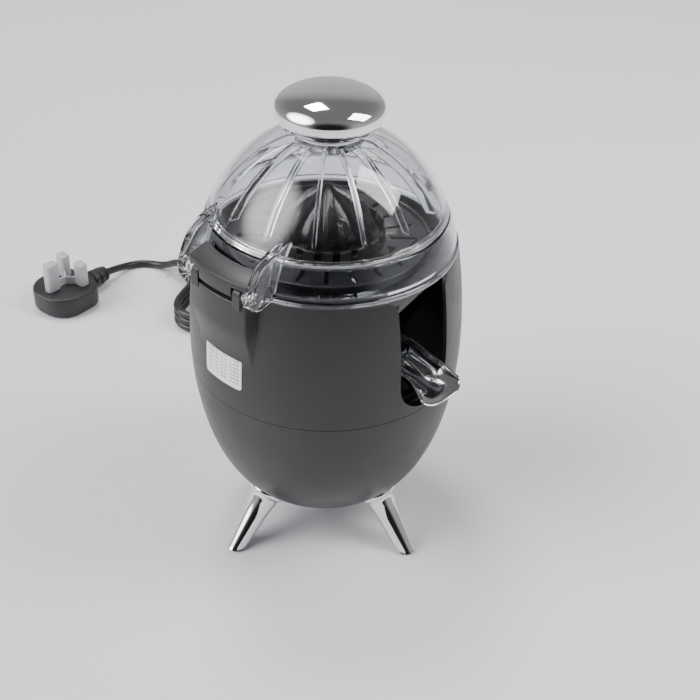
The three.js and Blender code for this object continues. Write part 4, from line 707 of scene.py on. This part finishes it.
def cap_radius(z):
    """CAP_RADIUS * sqrt(1 - ((z - CAP_Z) / CAP_RISE)^2), the outline of the clear cap."""
    return CAP_RADIUS * np.sqrt(1 - ((np.asarray(z, float) - CAP_Z) / CAP_RISE) ** 2)


def clear(name, tint, roughness, shade):
    """Clear plastic with faint haze, scratches and flow lines; its shadow is a light tint, not a dark one."""
    paint = Paint(name, tint, roughness, Transmission_Weight=1.0, IOR=1.49)
    haze, lines = paint.noise(30, 4, 0.6), paint.noise(900, 3, 0.6, (1, 1, 0.15))
    paint.put(
        Base_Color=paint.mixed(haze.ramp(0.3, 0.8), tint, tuple(0.97 * c for c in tint)),
        Roughness=haze.ramp(0.4, 0.8, roughness, roughness + 0.05) + lines * 0.02)
    paint.bump(paint.noise(22, 2), 0.00012, 0.25)
    through = paint.node("ShaderNodeBsdfTransparent", {"Color": (*shade, 1)})
    mix = paint.tree.nodes.new("ShaderNodeMixShader")
    lamp = paint.node("ShaderNodeLightPath", output="Is Shadow Ray")
    for socket, source in zip(mix.inputs, (lamp.socket, paint.shader.outputs[0], through.socket)):
        paint.tree.links.new(source, socket)
    paint.tree.links.new(mix.outputs[0], paint.tree.nodes["Material Output"].inputs["Surface"])
    return paint


smoke_paint = clear("smoky_styrene", (0.80, 0.82, 0.86), 0.03, (0.72, 0.74, 0.78))
band = np.array([(cap_radius(z), z) for z in np.linspace(BAND_FOOT, 227.7, 10)])
seat = rim - 3.6
bowl_profile = np.vstack([
    [(5.5, 148.6), (45, 148.6), (49, 149.9), (52, 153), (seat, 203.5), (seat, 207.2), (rim - 0.4, 207.2),
     (rim, 207.6), (rim, 209.2), (rim - 0.35, 209.7), (cap_radius(BAND_FOOT) + 0.2, 210.2),
     (cap_radius(BAND_FOOT), 210.9)], band,
    [(band[-1, 0] - 0.25, 228.15), (band[-1, 0] - 0.8, 228.3), (band[-1, 0] - 2, 228.3)],
    inset(band, CLEAR_WALL)[::-1],
    [(seat - CLEAR_WALL, 206.3), (49, 154), (46.5, 152), (43, 151), (12, 151), (10.5, 152.5), (10.3, 202.6), (9.9, 203), (5.8, 203), (5.5, 202.7)]])
gusset_room = turned([(0, 150), (50, 150), (seat - 1, 205.2), (0, 205.2)], 90)
gussets = []
for k in range(6):
    fin = upright([(58, 191.9), (68.4, 191.9), (72.4, 205.9), (58, 205.9)], -1, 1)
    gussets.append(moved(fin, spin(60 * k)))
nozzle = block((-9, -64, 149.2), (9, -46, 160), 0)
channel = block((-7, -70, 151), (7, -36, 158), 0)
bowl = carved(
    "juice_collector_bowl", turned(bowl_profile, 200), [nozzle, joined(*gussets)], [channel], smoke_paint, 0)
keep(bowl, "base", "smoke_plastic", "juice_collector")


# ---- Strainer -------------------------------------------------------------------------------------
# A black moulded sieve that sits on the gussets: radial slots, a low rim and a castellated collar that
# holds the fruit over the cone.
strainer_profile = [
    (11.1, 198.2), (12.9, 198.2), (12.9, 206.2), (62.7, 206.2), (63, 206.5), (63, 210.8), (62.6, 211.2),
    (61.5, 211.2), (61.2, 210.8), (61.2, 208.1), (35.8, 208.1), (35.5, 208.5), (35.4, 216.6), (35, 217),
    (33.9, 217), (33.5, 216.6), (33.5, 208.1), (11.4, 208.1), (11.1, 207.8)]
slots = [moved(block((38, -1.3, 200), (55, 1.3, 212)), spin(18 * k + 9)) for k in range(20)]
gaps = [moved(block((30, -2.2, 213), (39, 2.2, 220)), spin(18 * k)) for k in range(20)]
strainer = carved(
    "strainer_plate", turned(strainer_profile, 240), [], [joined(*slots), joined(*gaps)], dark_paint, 0.25)
keep(strainer, "base", "black_plastic", "strainer")


# ---- Reaming cone ---------------------------------------------------------------------------------
# One glossy black moulding: an ogive with eight ribs to its tip and eight short ones between them, their
# crests rounded and their flanks run out into the core.
CONE_RADIUS, CONE_Z, CONE_HEIGHT = 29, 212, 33


def cone(around=640, rows=90):
    """A core that narrows as 1 - s^1.9, s the share of the height, with a crest at each rib."""
    angle = np.linspace(0, 2 * np.pi, around, endpoint=False)[None]
    share = ((1 - np.cos(np.linspace(0, np.pi / 2, rows)))[:, None] * 0.5
             + np.linspace(0, 0.5, rows)[:, None])
    share = share * 0.985
    core = (CONE_RADIUS - 2.8) * (1 - share ** 1.9)

    def crest(step, offset, stop):
        away = np.abs((angle - offset + step / 2) % step - step / 2) * np.maximum(core, 3)
        return np.clip(1 - away / 2.5, 0, 1) ** 1.25 * ease((stop - share) / 0.08 + 1)

    step = np.pi / 4
    rib = np.maximum(crest(step, 0, 0.97), crest(step, step / 2, 0.45))
    radius = core + np.minimum(3.1 * rib * (1 - share ** 1.9) ** 0.3, 0.6 * core + 0.6)
    height = CONE_Z + 1.7 + (CONE_HEIGHT - 2.3) * share
    skin = np.stack([
        radius * np.cos(angle), radius * np.sin(angle), np.broadcast_to(height, radius.shape)], -1)
    foot = [(4.35, CONE_Z), (28.4, CONE_Z), (28.9, CONE_Z + 0.4), (29, CONE_Z + 1.2), (28.7, CONE_Z + 1.6)]
    rings = [np.stack([r * np.cos(angle[0]), r * np.sin(angle[0]), np.full(around, z)], -1)
             for r, z in [(4.35, CONE_Z + 15.2), *foot]]
    points = np.vstack([
        *rings, skin.reshape(-1, 3), [[0, 0, CONE_Z + CONE_HEIGHT - 0.2], [0, 0, CONE_Z + 15.2]]])
    total = len(rings) + rows
    faces = grid_faces(total, around, False, True)
    top, peak, well = (total - 1) * around, total * around, total * around + 1
    faces += [[peak, top + j, top + (j + 1) % around] for j in range(around)]
    return points, faces + [[well, (j + 1) % around, j] for j in range(around)]


gloss_paint = moulded("glossy_black_abs", (0.005, 0.005, 0.0055), (0.009, 0.009, 0.0095), 0.17, 0.00001, 1800)
reamer = link("reaming_cone", cone(), gloss_paint, 40)
keep(reamer, "spindle", "black_plastic", "reamer_cone")


# ---- Lid ------------------------------------------------------------------------------------------
# The clear dome is one moulding 2.4 mm thick with a flat rim. Behind, two arms of paired fins sweep down
# from it to the hinge's knuckles.
LID_FOOT, LID_TOP = 229.2, 22.5


def cap_points(z0, top_radius, count):
    """The cap's ellipse in equal steps of angle, from a height to a radius near the top."""
    angle = np.linspace(math.asin((z0 - CAP_Z) / CAP_RISE), math.acos(top_radius / CAP_RADIUS), count)
    return np.stack([CAP_RADIUS * np.cos(angle), CAP_Z + CAP_RISE * np.sin(angle)], -1)


clear_paint = clear("clear_styrene", (0.95, 0.96, 0.965), 0.012, (0.93, 0.93, 0.94))
dome_side = cap_points(LID_FOOT + 0.5, LID_TOP, 64)
dome_top = float(dome_side[-1, 1])
dome_inner = inset(dome_side, CLEAR_WALL)
dome_inner = dome_inner[(dome_inner[:, 1] > LID_FOOT + 3) & (dome_inner[:, 1] < dome_top - 2.45)][::-1]
rim_inner = float(cap_radius(LID_FOOT)) - 6
dome_profile = np.vstack([
    [(cap_radius(LID_FOOT) - 0.45, LID_FOOT)], dome_side,
    [(2.8, dome_top), (2.8, dome_top - CLEAR_WALL), (LID_TOP - 2, dome_top - CLEAR_WALL)], dome_inner,
    [(cap_radius(LID_FOOT) - 3.1, LID_FOOT + 2.2), (cap_radius(LID_FOOT) - 3.5, LID_FOOT + 1.9),
     (rim_inner + 0.4, LID_FOOT + 1.9), (rim_inner, LID_FOOT + 1.5), (rim_inner, LID_FOOT + 0.4),
     (rim_inner + 0.4, LID_FOOT)]])
horn_top = flowing([
    (-89.9, 211.6), (-89.7, 214.9), (-86.5, 223.3), (-81.4, 231.3), (-74.5, 236.4), (-65.7, 239.4),
    (-58, 241)])
horn_foot = flowing([(-52, 230), (-60, 219), (-69.1, 212), (-79.2, 207.6), (-86.2, 206.7), (-89, 208.4)])
horn = np.vstack([horn_top, horn_foot])
keep_out = turned(np.vstack([
    [(0, 196.5), (81.4, 196.5), (81.4, 211.2), (cap_radius(BAND_FOOT) + 0.9, 212.9),
     (cap_radius(228.3) + 0.9, 229.19), (rim_inner + 1, 229.19), (rim_inner + 1, 231)],
    inset(cap_points(LID_FOOT + 3, 30, 30), 1.2), [(0, dome_top - CLEAR_WALL)]]), 160)


def both_sides(near, far):
    """The (low, high) stretch of y from near to far on each side of the middle."""
    return [(-far, -near), (near, far)]


arms = [upright(horn, *both_sides(near, near + 2)[end], 0.4) for end in (0, 1) for near in (25.6, 30.4)]
knuckles = [pivot_rod(5.0, low, high) for low, high in both_sides(25.7, 32.3)]
tongues = [block((PIVOT_X - 2.4, low, PIVOT_Z - 2.4), (PIVOT_X + 2.4, high, PIVOT_Z + 2.4))
           for low, high in both_sides(22.6, 26.1)]
arm_tool = carved(
    "arm_tool", joined(*knuckles), [joined(*arms), joined(*tongues)],
    [keep_out, pivot_rod(1.9, -24, 24)], clear_paint, 0)
arm_shape = ((np.array([v.co for v in arm_tool.data.vertices]) - AXIS) / MM,
             [list(p.vertices) for p in arm_tool.data.polygons])
bpy.data.objects.remove(arm_tool, do_unlink=True)
dome = carved("clear_lid", turned(dome_profile, 240), [arm_shape], [], clear_paint, 0)
keep(dome, "lid", "clear_plastic", "lid_dome")


# ---- Hinge block ----------------------------------------------------------------------------------
# A dark grey satin moulding between the arms, curved like the casing, slotted underneath for the ears.
hinge_profile = [
    (cap_radius(209.5) + 1.6, 210), (cap_radius(209.5) + 2, 209.5), (90.2, 209.5), (90.7, 210), (90.7, 218.8),
    (90.3, 219.6), (89.6, 220), (cap_radius(223.5) + 2.9, 223.4), (cap_radius(223.5) + 2.2, 223.4),
    (cap_radius(223.5) + 1.9, 223)]
slot_cut = [block((-96, y - 4, 204), (PIVOT_X + 4.3, y + 4, PIVOT_Z + 4.3)) for y in EARS]
socket_cut = [block((PIVOT_X - 2.7, min(a, b), PIVOT_Z - 2.7), (PIVOT_X + 2.7, max(a, b), PIVOT_Z + 2.7))
              for a, b in ((21.9, 26.3), (-21.9, -26.3))]
outer = [moved(block((-140, 0, 200), (140, 140, 230)), shift(0, 25.3, 0)),
         moved(block((-140, -140, 200), (140, 0, 230)), shift(0, -25.3, 0)),
         block((-40, -140, 199), (140, 140, 231))]
hinge_paint = moulded("satin_grey", (0.016, 0.016, 0.0165), (0.024, 0.024, 0.025), 0.36, 0.00004, 2600)
hinge = carved("lid_hinge_block", turned(hinge_profile, 320), [],
               [*outer, joined(*slot_cut), joined(*socket_cut), pivot_rod(1.75, -26, 26)], hinge_paint, 0.35)
keep(hinge, "lid", "hinge_plastic", "hinge_block")


# ---- Fruit press ----------------------------------------------------------------------------------
# Inside the lid, fourteen clear fins stand out from a hub under the knob and follow the dome down; they
# press the fruit onto the cone.
press_top = dome_top - 2.7
press_side = inset(cap_points(LID_FOOT + 9, LID_TOP, 24), 3.2)
press_side = press_side[press_side[:, 1] < press_top - 1]
press_fin = np.vstack([
    press_side, [(14.5, press_top - 1), (14.5, press_top - 4.5)], inset(press_side, 5)[:0:-1]])
FINS = 14
fins = [moved(upright(press_fin, -1, 1, 0.35), spin(360 / FINS * (k + 0.5))) for k in range(FINS)]
hub = turned([(2.8, press_top - 5), (19, press_top - 5), (19.5, press_top - 4.5), (19.5, press_top - 0.4),
              (19.1, press_top), (2.8, press_top)], 96)
press = carved("fruit_press_fins", hub, [joined(*fins)], [], clear_paint, 0)
keep(press, "lid", "clear_plastic", "fruit_press")


# ---- Knob -----------------------------------------------------------------------------------------
# A polished chrome bun on a short neck with a thin foot ring, screwed down through the dome.
neck_foot, neck_top = dome_top + 0.3, dome_top + 4.1
neck = link("knob_collar", turned([
    (2.8, neck_foot), (22.3, neck_foot), (22.6, neck_foot + 0.3), (22.6, neck_foot + 0.8),
    (22.2, neck_foot + 1.2), (22, neck_foot + 1.5), (22, neck_top), (2.8, neck_top)], 160), chrome_paint)
keep(neck, "lid", "chrome", "knob_neck")
knob_foot = neck_top + 0.3
KNOB_RADIUS, KNOB_Z, KNOB_RISE, BUN_POWER = 32.6, 293, 13.5, 2.7
under = np.linspace((knob_foot + 0.1 - KNOB_Z) / KNOB_RISE, 0, 30)[:-1]
over = np.linspace(0, math.pi / 2, 40)[:-1]
bun_foot = np.stack([
    KNOB_RADIUS * (1 - np.abs(under) ** BUN_POWER) ** (1 / BUN_POWER), KNOB_Z + KNOB_RISE * under], -1)
knob = link("chrome_knob", turned(np.vstack([
    [(0, knob_foot + 13), (2.8, knob_foot + 13), (2.8, knob_foot), (bun_foot[0, 0] - 0.6, knob_foot)],
    bun_foot, np.stack([KNOB_RADIUS * np.cos(over), KNOB_Z + KNOB_RISE * np.sin(over)], -1),
    [(0, KNOB_Z + KNOB_RISE)]]), 180), chrome_paint)
keep(knob, "lid", "chrome", "knob")


# ---- Rating label ---------------------------------------------------------------------------------
# A white printed film stuck on the casing under the hinge boss, with rows of plain grey bars.
LABEL_Z, LABEL_HALF_TALL, LABEL_HALF_WIDE = 153, 11, 15.8


def label_patch(columns=48, rows=34):
    """A patch of the casing's surface, 0.35 mm proud, its corners rounded."""
    y, z = np.meshgrid(np.linspace(-1, 1, columns), np.linspace(-1, 1, rows))
    pinch = 1 - 0.06 * np.abs(z) ** 14
    skins = []
    for proud in (0.35, 0.06):
        height = LABEL_Z + LABEL_HALF_TALL * z * (1 - 0.03 * np.abs(y) ** 14)
        across = LABEL_HALF_WIDE * y * pinch
        radius = upper_radius(height) + proud
        skins.append(np.stack([-np.sqrt(radius ** 2 - across ** 2), across, height], -1).reshape(-1, 3))
    top = [face[::-1] for face in grid_faces(rows, columns, False, False)]
    count = rows * columns
    under = [[i + count for i in face[::-1]] for face in top]
    edge = [*range(columns), *range(2 * columns - 1, count, columns),
            *range(count - 2, count - columns - 1, -1), *range(count - 2 * columns, 0, -columns)]
    rim_faces = [[b, a, a + count, b + count] for a, b in zip(edge, edge[1:] + edge[:1])]
    return np.vstack(skins), top + under + rim_faces


label_paint = Paint("printed_film", (0.8, 0.8, 0.79), 0.38)
spot = label_paint.node("ShaderNodeSeparateXYZ", {0: label_paint.place()}, 1)
spot_z = label_paint.node("ShaderNodeSeparateXYZ", {0: label_paint.place()}, 2)
bars = (spot_z * (2 * math.pi / 0.0026)).sine().above(0.35)
words = label_paint.noise(420, 1, 0.5, (1, 1, 0.001)).above(0.47)
edge_in = label_paint.node("ShaderNodeMath", (spot - float(AXIS[1]),), operation="ABSOLUTE").below(0.0137)
label_paint.put(
    Base_Color=label_paint.mixed(bars * words * edge_in * spot_z.above(0.1442) * spot_z.below(0.1622) * 0.75,
                                 (0.82, 0.82, 0.81), (0.06, 0.06, 0.06)),
    Roughness=label_paint.noise(300, 3).ramp(0.3, 0.8, 0.3, 0.5)).bump(label_paint.noise(1600, 2), 0.00001)
label = link("rating_film", label_patch(), label_paint)
keep(label, "base", "label_film", "rating_label")


# ---- Floor and light ------------------------------------------------------------------------------
# A plain pale floor. One softbox stands high on the right and one above and behind. The room is dim, with
# a bright patch at the left and a dark one low down, for the chrome and the dome to mirror.
floor_paint = Paint("pale_sweep", (0.78, 0.775, 0.8), 0.55)
floor_paint.put(Roughness=floor_paint.noise(6, 3).ramp(0.3, 0.7, 0.5, 0.6))
sweep = np.array([(-2.0, -2.0), (2.4, -2.0), (2.4, 2.4), (-2.0, 2.4)]) * 1000
floor = link("floor", (np.column_stack([sweep, np.zeros(4)]), [[0, 1, 2, 3]]), floor_paint)

world = bpy.data.worlds.new("room")
bpy.context.scene.world = world
world.use_nodes = True
sky = world.node_tree
way = sky.nodes.new("ShaderNodeTexCoord").outputs["Generated"]


def toward(azimuth, elevation, low, high, out_low, out_high):
    """A room value that eases from out_low to out_high as the way looked nears one direction."""
    heading, rise = math.radians(azimuth), math.radians(elevation)
    near, span = sky.nodes.new("ShaderNodeVectorMath"), sky.nodes.new("ShaderNodeMapRange")
    near.operation, span.interpolation_type = "DOT_PRODUCT", "SMOOTHSTEP"
    sky.links.new(way, near.inputs[0])
    near.inputs[1].default_value = (
        math.cos(heading) * math.cos(rise), math.sin(heading) * math.cos(rise), math.sin(rise))
    sky.links.new(near.outputs["Value"], span.inputs["Value"])
    for name, value in (("From Min", low), ("From Max", high), ("To Min", out_low), ("To Max", out_high)):
        span.inputs[name].default_value = value
    return span.outputs["Result"]


def combined(operation, first, second):
    step = sky.nodes.new("ShaderNodeMath")
    step.operation = operation
    sky.links.new(first, step.inputs[0])
    sky.links.new(second, step.inputs[1])
    return step.outputs[0]


room = combined("MULTIPLY", toward(45, 75, -0.2, 0.9, 0.5, 0.2), toward(-134, 12, 0.6, 0.93, 1.0, 0.04))
lamps = combined("ADD", toward(152, 36, 0.86, 0.985, 0.0, 9.0), toward(45, 18, 0.8, 1.0, 0.0, 0.35))
sky.links.new(combined("ADD", room, lamps), sky.nodes["Background"].inputs["Strength"])
sky.nodes["Background"].inputs["Color"].default_value = (0.97, 0.97, 1, 1)


def softbox(name, spot, aim, size, power):
    lamp = bpy.data.lights.new(name, "AREA")
    lamp.shape, lamp.size, lamp.size_y, lamp.energy = "RECTANGLE", size[0], size[1], power
    obj = bpy.data.objects.new(name, lamp)
    spot, aim = (Vector(to_row(np.array(point) * 1000)) for point in (spot, aim))
    obj.matrix_world = Matrix.Translation(spot) @ (aim - spot).to_track_quat("-Z", "Y").to_matrix().to_4x4()
    bpy.context.scene.collection.objects.link(obj)


softbox("right", (0.62, -0.66, 1.25), (0, 0, 0.15), (0.55, 0.85), 15)
softbox("top", (0.25, 0.75, 1.9), (0, 0.1, 0.1), (0.5, 0.5), 18)
